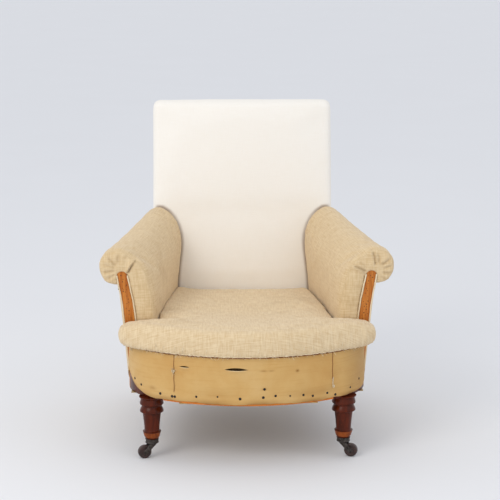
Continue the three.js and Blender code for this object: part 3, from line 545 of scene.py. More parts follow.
# %% From a frame solid to a stuffed pad
def pad(node_name, name, finish, voxel, rounds, neighbours, cap, even=2, hem=None, flap=None):
    """A stuffed piece made from a frame solid, remeshed at the voxel size and smoothed a number
    of rounds. cap is the furthest that a point may move, and hem the height below which it is
    nailed. flap is a closed shell that the remesh joins to the piece, as points and faces."""
    made = copy_of(node_name, name, finish)
    if flap:
        edit = bmesh.new()
        edit.from_mesh(made.data)
        corners = [edit.verts.new(point) for point in flap[0]]
        shell = [edit.faces.new([corners[k] for k in face]) for face in flap[1]]
        bmesh.ops.recalc_face_normals(edit, faces=shell)
        edit.to_mesh(made.data)
        edit.free()
    modifier(made, "REMESH", mode="VOXEL", voxel_size=voxel)
    baked(made)
    points = points_of(made)
    pinned = gap_to(points, neighbours, NAILED_WITHIN) < NAILED_WITHIN - 0.0001
    if hem is not None:
        pinned |= points[:, 2] < hem
    furthest = 0.0
    furthest = swell(made, pinned, cap, even)
    modifier(made, "SMOOTH", factor=0.5, iterations=rounds)
    modifier(made, "SUBSURF", levels=1, render_levels=1)
    baked(made)
    made.data.materials.clear()
    made.data.materials.append(finish)
    made.data.shade_smooth()
    print(name, len(made.data.polygons), "faces,", round(furthest * 1000, 1), "mm before the cap")
    return made


print("pads are nailed where a neighbour is within", NAILED_WITHIN, "m")

# %% [markdown]
# ### Folds and gathers
#
# A fold is a narrow valley along a line with a raised lip on one side, pressed into the points
# along their normals. `waver` gives the smooth unevenness of hand-stuffed work.

# %% Unevenness and folds
def waver(values, seed, count=5):
    """A smooth, uneven number for each value, the same on each run."""
    rng = random.Random(seed)
    out = np.zeros(len(values))
    for k in range(1, count + 1):
        out += rng.uniform(-1, 1) * np.sin(values * k + rng.uniform(0, 6.3)) / math.sqrt(k)
    return out / 2


def fold(points, normals, line, width, depth, lip=0.0, fade=0.2):
    """Presses a fold along a line of points. The lip rises on the line's left, seen from outside.
    Returns the new points and how far each lies in the valley, from 0 to 1."""
    line = np.array(line, float)
    best = np.full(len(points), 1e9)
    side = np.zeros(len(points))
    share = np.zeros(len(points))
    lengths = np.linalg.norm(np.diff(line, axis=0), axis=1)
    before = np.concatenate([[0], np.cumsum(lengths)])
    for i, (a, b) in enumerate(zip(line[:-1], line[1:])):
        run = b - a
        t = np.clip(((points - a) @ run) / (run @ run), 0, 1)
        away = points - (a + t[:, None] * run)
        distance = np.linalg.norm(away, axis=1)
        closer = distance < best
        best[closer] = distance[closer]
        turned = np.cross(run / lengths[i], away)
        side[closer] = np.einsum("ij,ij->i", turned, normals)[closer]
        share[closer] = ((before[i] + t * lengths[i]) / before[-1])[closer]
    ends = ease(np.minimum(share / fade, (1 - share) / (fade * 2)))
    signed = np.where(side > 0, best, -best)
    valley = -depth * np.exp(-(best / width) ** 2)
    raised = lip * np.exp(-((signed - width * 1.6) / (width * 1.3)) ** 2)
    pressed = points + normals * ((valley + raised) * ends * (best < width * 6))[:, None]
    return pressed, np.exp(-(best / (width * 0.6)) ** 2) * ends


print("pad and fold ready")

# %% [markdown]
# ## The seat
#
# The seat is one hessian pad. Its front edge is a stitched roll that stands out past the
# border, and its top has sunk in the middle.

# %% Stuff the seat
seat = pad("seat_pad", "seat_stuffing", HESSIAN_SEAT, voxel=0.0065, rounds=8, cap=0.007,
           hem=z_at(303), neighbours=["arm_pad_left", "arm_pad_right", "back_pad",
                                      "arm_stump_left", "arm_stump_right"])

# %% Model the seat's roll, its sag and its hem
points = points_of(seat)
normals = normals_of(seat)
# The roll's inner edge: a shallow valley behind it where the stuffing was stitched back
SEAT_OVERHANG = 0.018
across = points[:, 0]
depth_in = BOW + SEAT_OVERHANG - np.hypot(across, points[:, 1] - BOW_MIDDLE)
on_front = ease((y_at(60) - points[:, 1]) / 0.05)
facing_up = ease((normals[:, 2] - 0.2) / 0.5)
valley = -0.0022 * np.exp(-((depth_in - 0.052) / 0.014) ** 2) * on_front * facing_up
ridge = 0.0018 * np.exp(-((depth_in - 0.022) / 0.012) ** 2) * on_front * facing_up
lumps = 0.0012 * waver(across * 60 + points[:, 1] * 35, 4)
lumps *= ease((points[:, 2] - z_at(306)) / 0.02)
points += normals * (valley + ridge + lumps)[:, None]
# It swells up beside the arms, more on the left, and at the back. The feet of the arms run from
# 243 mm out at the front to 188 mm at the back
ARM_START = 92
behind = (points[:, 1] - FRONT_SHIFT) * 1000
arm_at = 0.243 - 0.055 * (behind - ARM_START) / 468
beside = np.exp(-((np.abs(across) - arm_at) / 0.034) ** 2)
beside *= ease((behind - ARM_START) / 70) * facing_up
on_left = across < 0
points[:, 2] += beside * np.where(on_left, 0.012, 0.005)
points[:, 2] += 0.007 * ease((behind - 180) / 90) * facing_up
points[:, 0] -= 0.009 * beside * on_left
# The hem: drawn under in small uneven tucks where it is nailed
hem_share = ease((z_at(316) - points[:, 2]) / 0.012)
hem_share *= ease((y_at(80) - points[:, 1]) / 0.02)
tucks = waver(across * 210, 9, 7)
points += normals * (0.0016 * tucks * hem_share)[:, None]
points[:, 2] += 0.0012 * waver(across * 130, 12, 6) * hem_share
set_points(seat, points)
# Painted shade along the lines where the seat meets the arms and the back
set_attribute(seat, "crease_shade", contact_shade(
    points, ["arm_pad_left", "arm_pad_right", "back_pad"], strength=0.6))
set_attribute(seat, "cloth", np.stack([
    points[:, 0], points[:, 1] + points[:, 2], np.zeros(len(points))], axis=1))
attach(seat, "root")
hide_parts("seat_pad")
print("seat: top at", round(float(points[:, 2].max()), 3), "m")

# %% [markdown]
# ## The back
#
# The calico is new and drawn smooth over the stuffing, with a soft crown. Its top corners
# are pleated.

# %% Stuff the back
back = pad("back_pad", "back_stuffing", CALICO, voxel=0.007, rounds=6, cap=0.006, even=40,
           neighbours=["back_post_left", "back_post_right", "top_rail", "arm_pad_left",
                       "arm_pad_right", "arm_rail_left", "arm_rail_right", "seat_pad",
                       "outside_back", "back_tacking_rail"])

# %% Pleat the back's corners
points = points_of(back)
normals = normals_of(back)
top = z_at(889)
for side in (-1, 1):
    for k, drop in enumerate((0.0, 0.012)):
        line = [(side * (0.236 - 0.012 * k), y, top - 0.001 - drop * 0.3)
                for y in (0.318, 0.345, 0.372)]
        points = fold(points, normals, line, 0.004, 0.0022, 0.0008, 0.3)[0]
points += normals * (0.0008 * waver(points[:, 0] * 22 + points[:, 2] * 9, 21, 4))[:, None]
set_points(back, points)
# Painted shade along the lines where the back meets the arms and the seat
set_attribute(back, "crease_shade", contact_shade(points, ["arm_pad_left", "arm_pad_right", "seat_pad"]))
set_attribute(back, "cloth", np.stack([
    points[:, 0], points[:, 2] - points[:, 1] * (normals[:, 2] > 0.7),
    np.zeros(len(points))], axis=1))
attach(back, "root")
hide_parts("back_pad")
print("back: top at", round(float(points[:, 2].max()), 3), "m")

# %% [markdown]
# ## The arms
#
# The hessian is drawn over the scroll and gathered at its front. On each arm one fold starts
# at the top of the bare wood facing; its path was read off the photograph.

# %% The folds, and the flap over each stump
ARM_FOLDS = {
    "left": [
        # line as x, z on the front of the arm; width, depth, lip in millimetres
        ([(-320, 480), (-307, 503), (-291, 530)], 2.8, 6.5, 6.5),
        ([(-296, 524), (-280, 526), (-262, 516), (-240, 500)], 5.0, 3.4, 4.6),
        ([(-347, 502), (-362, 518), (-374, 530)], 4.4, 4.2, 2.6),
        ([(-350, 496), (-368, 504), (-386, 508)], 3.8, 3.4, 2.0),
        ([(-350, 490), (-368, 488), (-388, 484)], 4.0, 4.4, 2.6),
        ([(-350, 482), (-364, 472), (-378, 464)], 3.8, 3.2, 2.0),
        ([(-340, 508), (-342, 524), (-340, 538)], 5.0, 2.6, 1.8),
        ([(-322, 508), (-322, 524), (-318, 540)], 5.0, 2.0, 1.4),
    ],
    "right": [
        ([(344, 500), (339, 526), (329, 552)], 3.4, 6.0, 4.6),
        ([(352, 506), (352, 522), (346, 540)], 3.6, 3.6, 2.6),
        ([(324, 482), (308, 491), (292, 498), (268, 505)], 3.4, 6.0, 5.0),
        ([(322, 492), (304, 508), (288, 515)], 6.0, 2.4, 1.8),
        ([(358, 500), (372, 512), (386, 522)], 4.2, 4.0, 2.4),
        ([(362, 493), (378, 498), (390, 500)], 3.8, 3.6, 2.0),
        ([(360, 484), (376, 480), (390, 476)], 3.8, 3.6, 2.0),
        ([(356, 474), (368, 464), (378, 458)], 3.6, 2.6, 1.6),
    ],
}
# Middle of the scroll, out and up in metres, at the arm's front and at its back
SCROLL_FRONT = np.array((0.335, 0.497))
SCROLL_BACK = np.array((0.229, 0.530))
SCROLL_RADIUS = 0.055
front_y = y_at(86)


def stump_edges(side_name):
    """Heights up an arm stump, with its lowest and highest x at each."""
    spots = np.array([v.co[:] for v in NODES[f"arm_stump_{side_name}"].data.vertices])
    heights = np.unique(np.round(spots[:, 2], 4))
    rows = [spots[np.abs(spots[:, 2] - z) < 6e-5][:, 0] for z in heights]
    return heights, [row.min() for row in rows], [row.max() for row in rows]


def stump_flap(side_name):
    """The hessian turned down over the top of the bare facing, with an arched lower edge."""
    heights, low, high = stump_edges(side_name)
    z_arch = z_at(488)
    middle = (np.interp(z_arch, heights, low) + np.interp(z_arch, heights, high)) / 2
    share = np.linspace(-1, 1, 9)
    ring = [(middle + s * 0.0145, z_arch - 0.008 * s * s) for s in share]
    ring += [(middle + s * 0.0145, z_arch + 0.018) for s in share[::-1]]
    count = len(ring)
    points = [(x, y_at(y), z) for y in (84.6, 92) for x, z in ring]
    faces = [tuple(range(count)), tuple(range(count, 2 * count))[::-1]]
    faces += [(k, (k + 1) % count, (k + 1) % count + count, k + count) for k in range(count)]
    return points, faces


print({side: len(folds) for side, folds in ARM_FOLDS.items()}, "folds on the arms")

# %% Stuff and fold the arms
for side_name, sign in (("left", -1), ("right", 1)):
    arm = pad(f"arm_pad_{side_name}", f"arm_stuffing_{side_name}", HESSIAN, voxel=0.0052, rounds=5,
              cap=0.006, flap=stump_flap(side_name), neighbours=["seat_pad", "back_pad", *(
                  f"{name}_{side_name}" for name in (
                      "arm_stump", "arm_rail", "arm_tacking_rail", "outside_arm", "back_post"))])
    points = points_of(arm)
    # Painted shade: the valleys of the folds are darkened in colour, and so is the line where the
    # arm meets the seat
    crease_shade = np.zeros(len(points))
    for line, width, depth, lip in ARM_FOLDS[side_name]:
        at = [place(x, 86, z) for x, z in line]
        points, valley = fold(points, normals_of(arm), at, width / 1000, depth / 1000, lip / 1000)
        crease_shade = np.maximum(crease_shade, valley * min(depth / 13, 0.5))
    set_points(arm, points)
    set_attribute(arm, "crease_shade", np.maximum(crease_shade, contact_shade(points, ["seat_pad"], strength=0.5)))
    normals = normals_of(arm)
    lumps = 0.001 * waver(points[:, 2] * 40 + points[:, 1] * 25, 31 + sign, 4)
    points += normals * lumps[:, None]
    set_points(arm, points)
    # The cloth lies flat on the front. Behind it, it runs up the inside and round the scroll.
    back_share = (points[:, 1] - front_y) / (y_at(560) - front_y)
    middle = SCROLL_FRONT + (SCROLL_BACK - SCROLL_FRONT) * back_share[:, None]
    out_x = points[:, 0] * sign - middle[:, 0]
    up_z = points[:, 2] - middle[:, 1]
    turn = math.pi - np.arctan2(up_z, out_x)
    around = np.where((out_x < 0) & (up_z < 0), up_z, SCROLL_RADIUS * turn)
    on_face = (points[:, 1] < front_y + 0.005) & (normals[:, 1] < -0.6)
    set_attribute(arm, "cloth", np.stack([
        np.where(on_face, points[:, 0], points[:, 1]),
        np.where(on_face, points[:, 2], around), np.zeros(len(points))], axis=1))
    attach(arm, "root")
    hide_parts(f"arm_pad_{side_name}")

# %% [markdown]
# ## The front border
#
# The old lining is built as a fine grid round the bow. `bow` walks along half of the seat's
# plan: a long bow, a wide corner, then straight back. Two slits along the weave are opened into
# tears, and the lower hem is scalloped between its tacks.

# %% The outline of the bow
def bow(travel, margin):
    """The place and outward direction at a distance along the outline from the middle."""
    sign = -1 if travel < 0 else 1
    travel = abs(travel)
    radius, corner = BOW + margin, CORNER + margin
    corner_x = SIDE - CORNER
    corner_y = BOW_MIDDLE - math.sqrt((BOW - CORNER) ** 2 - corner_x ** 2)
    join = math.atan2(corner_x, BOW_MIDDLE - corner_y)
    if travel < BOW * join:
        angle = travel / BOW
        x, y = radius * math.sin(angle), BOW_MIDDLE - radius * math.cos(angle)
    else:
        angle = min(join + (travel - BOW * join) / CORNER, math.pi / 2)
        x, y = corner_x + corner * math.sin(angle), corner_y - corner * math.cos(angle)
    return Vector((sign * x, y, 0)), Vector((sign * math.sin(angle), -math.cos(angle), 0))


def travel_to(x):
    """How far along the outline a given x lies."""
    low, high = 0.0, 0.48
    for _ in range(30):
        middle = (low + high) / 2
        low, high = (middle, high) if bow(middle, 0.0)[0].x < abs(x) else (low, middle)
    return math.copysign(low, x)


print("half of the outline is", round(travel_to(0.3155), 3), "m long")

# %% Tacks, tears and stains
# x and z of each tack head on the border, read off the photograph, in millimetres
TACKS = [
    (-298, 209), (-281, 199), (-230, 187), (-199, 184), (-192, 184), (-136, 190), (-81, 193),
    (-23, 189), (37, 192), (40, 214), (69, 195), (107, 193), (142, 192), (167, 187), (206, 189),
    (228, 181), (270, 191), (296, 205)]
# Middle x and z, width, and height of each tear
TEARS = [(-33, 266, 60, 7.5), (-166, 267, 25, 3.4)]
# Middle x and z, half width, half height and strength of each stain
STAINS = [
    (38, 263, 9, 2.2, 0.5), (58, 263, 7, 2, 0.45), (126, 259, 4, 3.4, 0.9), (40, 214, 5, 3, 0.7),
    (-250, 199, 9, 5, 0.4), (222, 243, 22, 14, 0.1), (-90, 200, 40, 16, 0.12),
    (170, 196, 60, 12, 0.22)]
CLOTH_WALL = 0.0015
reach = travel_to(0.3155)
columns = 360
rows = 62
z_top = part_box("front_border")[1].z + 0.004
z_foot = z_at(173.5)
span = z_top - z_foot
slits = [(x, width, height / 2, z_at(z), round((z_at(z) - z_foot) / span * rows))
         for x, z, width, height in TEARS]


def foot_rise(x, y):
    """How far the hem climbs past the leg, higher on the left; y in millimetres."""
    start, run, height = (-25, 94, 38) if x < 0 else (-20, 100, 14)
    return height * (max(y - start, 0) / run) ** 1.6 / 1000


def beside_tears(x_mm, j):
    """How the tears shift a point of the grid's row j up, lift it off, and rub it."""
    shift, lift, lip = 0.0, 0.0, 0.0
    for x, width, half, tear_z, row in slits:
        share = abs(x_mm - x) / (width / 2)
        if share >= 1.3:
            continue
        # The two rows beside the slit meet at its ends and part in its middle
        above = j >= row
        open_by = (half * (1 - min(share, 1) ** 2) + 0.15) / 1000
        edge = row if above else row - 1
        wanted = tear_z + (1.4 * open_by if above else -0.5 * open_by)
        pull_in = (wanted - (z_foot + span * edge / rows)) * (1 - float(ease((share - 1) / 0.3)))
        away = (j - edge) * span / rows
        shift += pull_in * math.exp(-(away / 0.007) ** 2)
        raised = 0.002 * math.exp(-(away / 0.006) ** 2) * (1 - share / 1.3)
        lift += raised * (0.7 if above else 1.6)
        if not above and share < 1:
            lip = max(lip, 0.6 * math.exp(-(away / 0.0016) ** 2) * (1 - share * share))
    return shift, lift, lip


def pulled_in(x_mm, z_mm):
    """How far the tacks pull the cloth towards the rail, each within about 6 mm."""
    return sum(0.0013 * math.exp(-(math.hypot(x_mm - x, z_mm - z) / 6) ** 2) for x, z in TACKS)


def stain_at(x_mm, z_mm):
    """The strongest of the stains that cover a point."""
    return max(strength * math.exp(-math.hypot((x_mm - x) / width, (z_mm - z) / height) ** 2)
               for x, z, width, height, strength in STAINS)


print("tears open", [round(2 * half, 1) for _, _, half, _, _ in slits], "mm before they gape")

# %% Lay the lining round the bow
points, faces, cloth, stains_and_shade, lips = [], [], [], [], []
for i in range(columns + 1):
    travel = -reach + 2 * reach * i / columns
    flat, outward = bow(travel, 0.0012)
    x_mm = flat.x * 1000
    nearest = min(abs(x_mm - x) for x, z in TACKS)
    foot = foot_rise(flat.x, (flat.y - FRONT_SHIFT) * 1000)
    foot += 0.0004 * math.cos(min(nearest / 12, 1.6) * math.pi)
    foot += 0.0009 * math.sin(travel * 31) + 0.0005 * math.sin(travel * 83 + 1)
    for j in range(rows + 1):
        t = j / rows
        z = z_foot + span * t + foot * (1 - t) ** 3
        bulge = 0.0012 + 0.0006 * math.sin(travel * 31 + z * 22)
        bulge += 0.0004 * math.sin(travel * 70 - z * 60)
        shift, lift, lip = beside_tears(x_mm, j)
        z += shift
        z_mm = (z + DROP) * 1000
        hem = math.exp(-(t * span / 0.009) ** 2) * (0.36 + 0.2 * math.sin(travel * 47))
        # Towards the right end the colour is darker as painted shade, where the border turns away
        # from the light on the left
        hem = max(hem, 0.34 * float(ease((x_mm - 235) / 70)))
        spot = flat + outward * max(bulge + lift - pulled_in(x_mm, z_mm), 0.0003)
        points.append((spot.x, spot.y, z))
        cloth.append((travel, z, 0))
        stains_and_shade.append(min(max(stain_at(x_mm, z_mm), hem), 1))
        lips.append(lip)
for i in range(columns):
    middle = (points[i * (rows + 1)][0] + points[(i + 1) * (rows + 1)][0]) * 500
    for j in range(rows):
        if any(abs(middle - x) < width / 2 and j == row - 1 for x, width, _, _, row in slits):
            continue
        a = i * (rows + 1) + j
        faces.append((a, a + rows + 1, a + rows + 2, a + 1))
border = piece_from("front_border_cloth", points, faces, OLD_LINING)
set_attribute(border, "cloth", np.array(cloth))
set_attribute(border, "stain_and_shade", np.array(stains_and_shade))
set_attribute(border, "lip", np.array(lips))
modifier(border, "SOLIDIFY", thickness=CLOTH_WALL, offset=-1)
baked(border)
border.data.shade_smooth()
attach(border, "root")
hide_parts("front_border")
print("border", round(2 * reach, 3), "m long,", len(border.data.polygons), "faces")

# %% [markdown]
# ## Outside cloths
#
# The outside of each arm and of the back is closed with one stretched piece of hessian. The
# frame solid gives its edges: its outer points are read off level by level, and a finer grid is
# laid between them with a little slack.

# %% Outside cloths
def outer_grid(node_name, station_axis, level_axis, out_axis, out_sign):
    """Stations and, for each, the levels and how far out the solid reaches there."""
    spots = np.array([v.co[:] for v in NODES[node_name].data.vertices])
    stations = []
    for at in sorted(set(np.round(spots[:, station_axis], 4))):
        here = spots[np.abs(spots[:, station_axis] - at) < 6e-5]
        levels = {}
        for spot in here:
            level = round(float(spot[level_axis]), 4)
            levels[level] = max(levels.get(level, -9), float(spot[out_axis]) * out_sign)
        stations.append((float(at), sorted(levels.items())))
    return stations


def stretched_cloth(name, node_name, station_axis, level_axis, out_axis, out_sign, counts,
                    corner=0.0):
    """A fine stretched sheet over the outside of a frame solid that stands for a cloth. Where
    corner is given, the first edge is turned in and its lower corner is cut up by so much."""
    stations = outer_grid(node_name, station_axis, level_axis, out_axis, out_sign)
    along = np.linspace(stations[0][0], stations[-1][0], counts[0])
    at = [s for s, _ in stations]
    low = np.interp(along, at, [levels[0][0] for _, levels in stations])
    low = low + corner * (1 - ease((along - along[0]) / 0.07))
    high = np.interp(along, at, [levels[-1][0] for _, levels in stations])
    out_low = np.interp(along, at, [levels[0][1] for _, levels in stations])
    out_high = np.interp(along, at, [levels[-1][1] for _, levels in stations])
    points, cloth = [], []
    for i, station in enumerate(along):
        for j in range(counts[1]):
            t = j / (counts[1] - 1)
            spot = [0.0, 0.0, 0.0]
            spot[station_axis] = station
            spot[level_axis] = low[i] + (high[i] - low[i]) * t
            slack = math.sin(math.pi * t) * math.sin(math.pi * i / (counts[0] - 1))
            slack *= 0.0012 + 0.0008 * math.sin(station * 38 + t * 3)
            hem = 0.0009 * math.sin(station * 170) * (abs(t - 0.5) > 0.48)
            turned_in = (0.0062, 0.0024, 0.0006)[i] if corner and i < 3 else 0.0
            out = out_low[i] + (out_high[i] - out_low[i]) * t
            spot[out_axis] = out_sign * (out - slack - turned_in + hem * 0.2)
            points.append(spot)
            cloth.append((station, spot[level_axis], 0))
    faces = []
    for i in range(counts[0] - 1):
        for j in range(counts[1] - 1):
            a = i * counts[1] + j
            quad = (a, a + counts[1], a + counts[1] + 1, a + 1)
            first, second, last = (Vector(points[k]) for k in (quad[0], quad[1], quad[3]))
            facing = (second - first).cross(last - first)[out_axis] * out_sign
            faces.append(quad if facing > 0 else quad[::-1])
    sheet = piece_from(name, points, faces, HESSIAN)
    set_attribute(sheet, "cloth", np.array(cloth))
    modifier(sheet, "SOLIDIFY", thickness=CLOTH_WALL, offset=-1)
    baked(sheet)
    sheet.data.shade_smooth()
    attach(sheet, "root")
    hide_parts(node_name)
    return sheet


for side_name, sign in (("left", -1), ("right", 1)):
    stretched_cloth(
        f"outside_arm_cloth_{side_name}", f"outside_arm_{side_name}", station_axis=1, level_axis=2,
        out_axis=0, out_sign=sign, counts=(120, 60), corner=0.046)
stretched_cloth(
    "outside_back_cloth", "outside_back", station_axis=2, level_axis=0, out_axis=1, out_sign=1,
    counts=(110, 80))

# %% [markdown]
# ## Legs
#
# Each front leg is one piece of wood: turned below, square above where the seat rails join it.
# `turned` spins a profile of radius and height; the points between the given ones follow a
# smooth curve.

# %% Turning tools
def smooth_profile(profile, steps=4):
    """More points along a profile, on a curve through the given ones."""
    profile = np.array(profile, float)
    padded = np.vstack([profile[:1], profile, profile[-1:]])
    out = []
    for a, b, c, d in zip(padded[:-3], padded[1:-2], padded[2:-1], padded[3:]):
        for k in range(steps):
            t = k / steps
            out.append(0.5 * (2 * b + (c - a) * t + (2 * a - 5 * b + 4 * c - d) * t ** 2
                              + (3 * b - a - 3 * c + d) * t ** 3))
    out.append(profile[-1])
    return np.maximum(np.array(out), [0, -9])


def turned(profile, segments, axis_point, first, second, along):
    """Points and faces of a turned form round an axis, closed at both ends."""
    profile = np.array(profile, float)
    origin, first, second, along = (np.array(v, float) for v in (axis_point, first, second, along))
    points, faces = [], []
    for radius, height in profile:
        for k in range(segments):
            angle = 2 * math.pi * k / segments
            spoke = first * math.cos(angle) + second * math.sin(angle)
            points.append(origin + along * height + spoke * radius)
    for i in range(len(profile) - 1):
        for k in range(segments):
            a, b = i * segments + k, i * segments + (k + 1) % segments
            faces.append((a, b, b + segments, a + segments))
    points += [origin + along * profile[0][1], origin + along * profile[-1][1]]
    last = (len(profile) - 1) * segments
    for k in range(segments):
        faces.append((len(points) - 2, (k + 1) % segments, k))
        faces.append((len(points) - 1, last + k, last + (k + 1) % segments))
    return points, faces


def sharpened(obj, angle=32):
    """Smooth shading that keeps edges sharper than the angle."""
    obj.data.shade_smooth()
    edit = bmesh.new()
    edit.from_mesh(obj.data)
    bmesh.ops.remove_doubles(edit, verts=edit.verts, dist=1e-6)
    bmesh.ops.recalc_face_normals(edit, faces=edit.faces)
    for edge in edit.edges:
        if len(edge.link_faces) == 2:
            edge.smooth = edge.calc_face_angle() < math.radians(angle)
    edit.to_mesh(obj.data)
    edit.free()


UP = ((1, 0, 0), (0, 1, 0), (0, 0, 1))
print("turning tools ready")

# %% Turn the front legs
# Radius and height of the turning: neck, collar, taper and two rings
LEG_PROFILE = [
    (16.8, 53), (17.6, 55), (20, 58.5), (21.3, 62), (22.8, 67.5), (24.1, 72), (24.2, 73.4),
    (21, 74.4), (20, 77), (20.2, 84), (20.9, 92), (22, 104), (23.4, 116), (24.3, 123), (25, 125.4),
    (30.6, 127.2), (31.5, 129.4), (31, 132.4), (29.2, 137), (27, 141), (26.2, 143.6),
    (26.3, 145.6), (30.4, 147.4), (31.5, 149.8), (31.1, 153), (29.8, 158), (28.7, 162),
    (28.7, 163.6), (31.6, 165.4), (33.2, 167.6), (33.2, 169),
]
for side_name, sign in (("left", -1), ("right", 1)):
    axis = place(sign * 255, 8, 0)
    profile = smooth_profile([(r / 1000, z_at(z)) for r, z in LEG_PROFILE])
    points, faces = turned(profile, 64, (axis[0], axis[1], 0), *UP)
    leg = piece_from(f"front_leg_turned_{side_name}", points, faces, MAHOGANY)
    sharpened(leg, 50)
    leg.data.materials.append(WORN_COLLAR)
    for face in leg.data.polygons:
        face.material_index = int(z_at(57) < face.center.z < z_at(71.5))
    # Above the turning the leg is a block whose front follows the bow
    inner_x, block_y = 0.224, y_at(84)
    plan = [(inner_x, block_y)]
    travel = travel_to(inner_x)
    while bow(travel, 0.0)[0].y < block_y:
        plan.append(bow(travel, 0.0005)[0][:2])
        travel += 0.006
    plan.append((bow(travel, 0.0005)[0].x, block_y))
    low, high = z_at(169), z_at(241)
    points = [(x * sign, y, z) for z in (low, high) for x, y in plan]
    count = len(plan)
    faces = [tuple(range(count)), tuple(range(count, 2 * count))]
    faces += [(k, (k + 1) % count, (k + 1) % count + count, k + count) for k in range(count)]
    block = piece_from(f"front_leg_block_{side_name}", points, faces, MAHOGANY)
    sharpened(block, 20)
    modifier(block, "BEVEL", width=0.0014, segments=2, limit_method="ANGLE")
    baked(block)
    sharpened(block, 40)
    for obj in (leg, block):
        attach(obj, "root")
    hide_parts(f"front_leg_{side_name}")
    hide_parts(f"front_leg_{side_name}")
print("legs:", len(LEG_PROFILE), "profile points each")

# %% [markdown]
# ## Castors
#
# A cup holds the leg's foot, a forged horn swivels in it, and a turned wheel runs between the
# horn's cheeks. Each wheel's own direction is found from the places of its cup and its wheel.

# %% Castors
# Radius and height of the cup, and radius and place along the axle of the wheel
CUP = [
    (0, 40.8), (17.2, 40.8), (18, 41.6), (18.1, 43.6), (17.3, 44.6), (17.3, 50.2), (18.4, 51.2),
    (18.4, 52.6), (17.8, 53), (0, 53)]
WHEEL_HALF = [
    (3.2, 7.4), (6.2, 7.4), (6.8, 6.9), (11.5, 6.6), (12.2, 7.2), (14, 7.4), (16.6, 6.6),
    (17.7, 4.6), (18, 2)]
WHEEL_PROFILE = [(r, -h) for r, h in WHEEL_HALF] + WHEEL_HALF[::-1]
for where in ("front_left", "front_right", "back_left", "back_right"):
    low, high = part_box(f"castor_cup_{where}")
    cup_at = (Vector(low) + Vector(high)) / 2
    low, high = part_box(f"castor_wheel_{where}")
    wheel_at = (Vector(low) + Vector(high)) / 2
    trail = Vector((wheel_at.x - cup_at.x, wheel_at.y - cup_at.y, 0)).normalized()
    axle = Vector((-trail.y, trail.x, 0))
    cup_profile = [(r / 1000, z_at(z)) for r, z in CUP]
    points, faces = turned(cup_profile, 48, (cup_at.x, cup_at.y, 0), *UP)
    cup = piece_from(f"cup_{where}", points, faces, IRON)
    sharpened(cup, 30)
    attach(cup, "root")
    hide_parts(f"castor_cup_{where}")
    horn = copy_of(f"castor_horn_{where}", f"horn_{where}", IRON, 1)
    modifier(horn, "BEVEL", width=0.0005, segments=2, limit_method="ANGLE",
             angle_limit=math.radians(30))
    baked(horn)
    sharpened(horn, 35)
    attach(horn, f"castor_{where}")
    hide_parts(f"castor_horn_{where}")
    profile = smooth_profile([(r / 1000, h / 1000) for r, h in WHEEL_PROFILE], 3)
    points, faces = turned(profile, 48, wheel_at[:], trail, (0, 0, 1), axle)
    wheel = piece_from(f"wheel_{where}_turned", points, faces, WHEEL)
    sharpened(wheel, 40)
    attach(wheel, f"wheel_{where}")
    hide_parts(f"castor_wheel_{where}")
    print(where, "trails towards", round(math.degrees(math.atan2(trail.y, trail.x))), "degrees")

# %% [markdown]
# ## Bare wood and springs
#
# The arm stumps show as bare facings, so they get rounded edges. The other rails keep their
# frame shape and only take their wood, each with the grain along its own length. Springs and
# webbing take steel and jute.

# %% Facings, rails, webbing and springs
for side_name in ("left", "right"):
    facing = copy_of(f"arm_stump_{side_name}", f"arm_facing_{side_name}", FACING)
    modifier(facing, "BEVEL", width=0.0022, segments=3, limit_method="ANGLE")
    baked(facing)
    sharpened(facing, 35)
    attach(facing, "root")
    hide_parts(f"arm_stump_{side_name}")

# Webbing is a denser jute than hessian: browner, with a tight weave
JUTE_FLAT = woven("plain jute webbing, dusty", "c0a26c", "866a3c", pitch=0.0028, slub=0.7,
                  relief=0.0004, soil="6f5630", on_object=True)
# The cloth over the springs never saw daylight, but dust has browned it
SPRING_CLOTH = woven("spring hessian, brown with age", "b99a68", "80633a", pitch=HESSIAN_PITCH,
                     slub=0.7, relief=0.0005, soil="6a4f2c", on_object=True)
FINISHES = {"front_rail": BEECH_SHOWN, "back_webbing": JUTE_FLAT, "spring_hessian": SPRING_CLOTH}
STARTS = {
    "back_rail": BEECH_ACROSS, "top_rail": BEECH_ACROSS, "back_tacking_rail": BEECH_ACROSS,
    "side_rail": BEECH_BACKWARD, "arm_rail": BEECH_BACKWARD, "arm_tacking_rail": BEECH_BACKWARD,
    "back_post": BEECH_UPRIGHT, "seat_web": JUTE_FLAT, "seat_spring": STEEL,
}
for name in NODES:
    for start, finish in STARTS.items():
        if name.startswith(start):
            FINISHES[name] = finish
for name, finish in FINISHES.items():
    NODES[name].data.materials.clear()
    NODES[name].data.materials.append(finish)
print(len(FINISHES), "frame nodes keep their shape and take a finish")

# %% [markdown]
# ## Many small things: one scatter tree
#
# Tacks, frayed threads and stitches repeat. One Geometry Nodes tree puts copies of a small shape
# on a set of points. Each point says which way it faces and which way it runs, and the tree
# turns, tilts and scales the copy from a fixed seed.

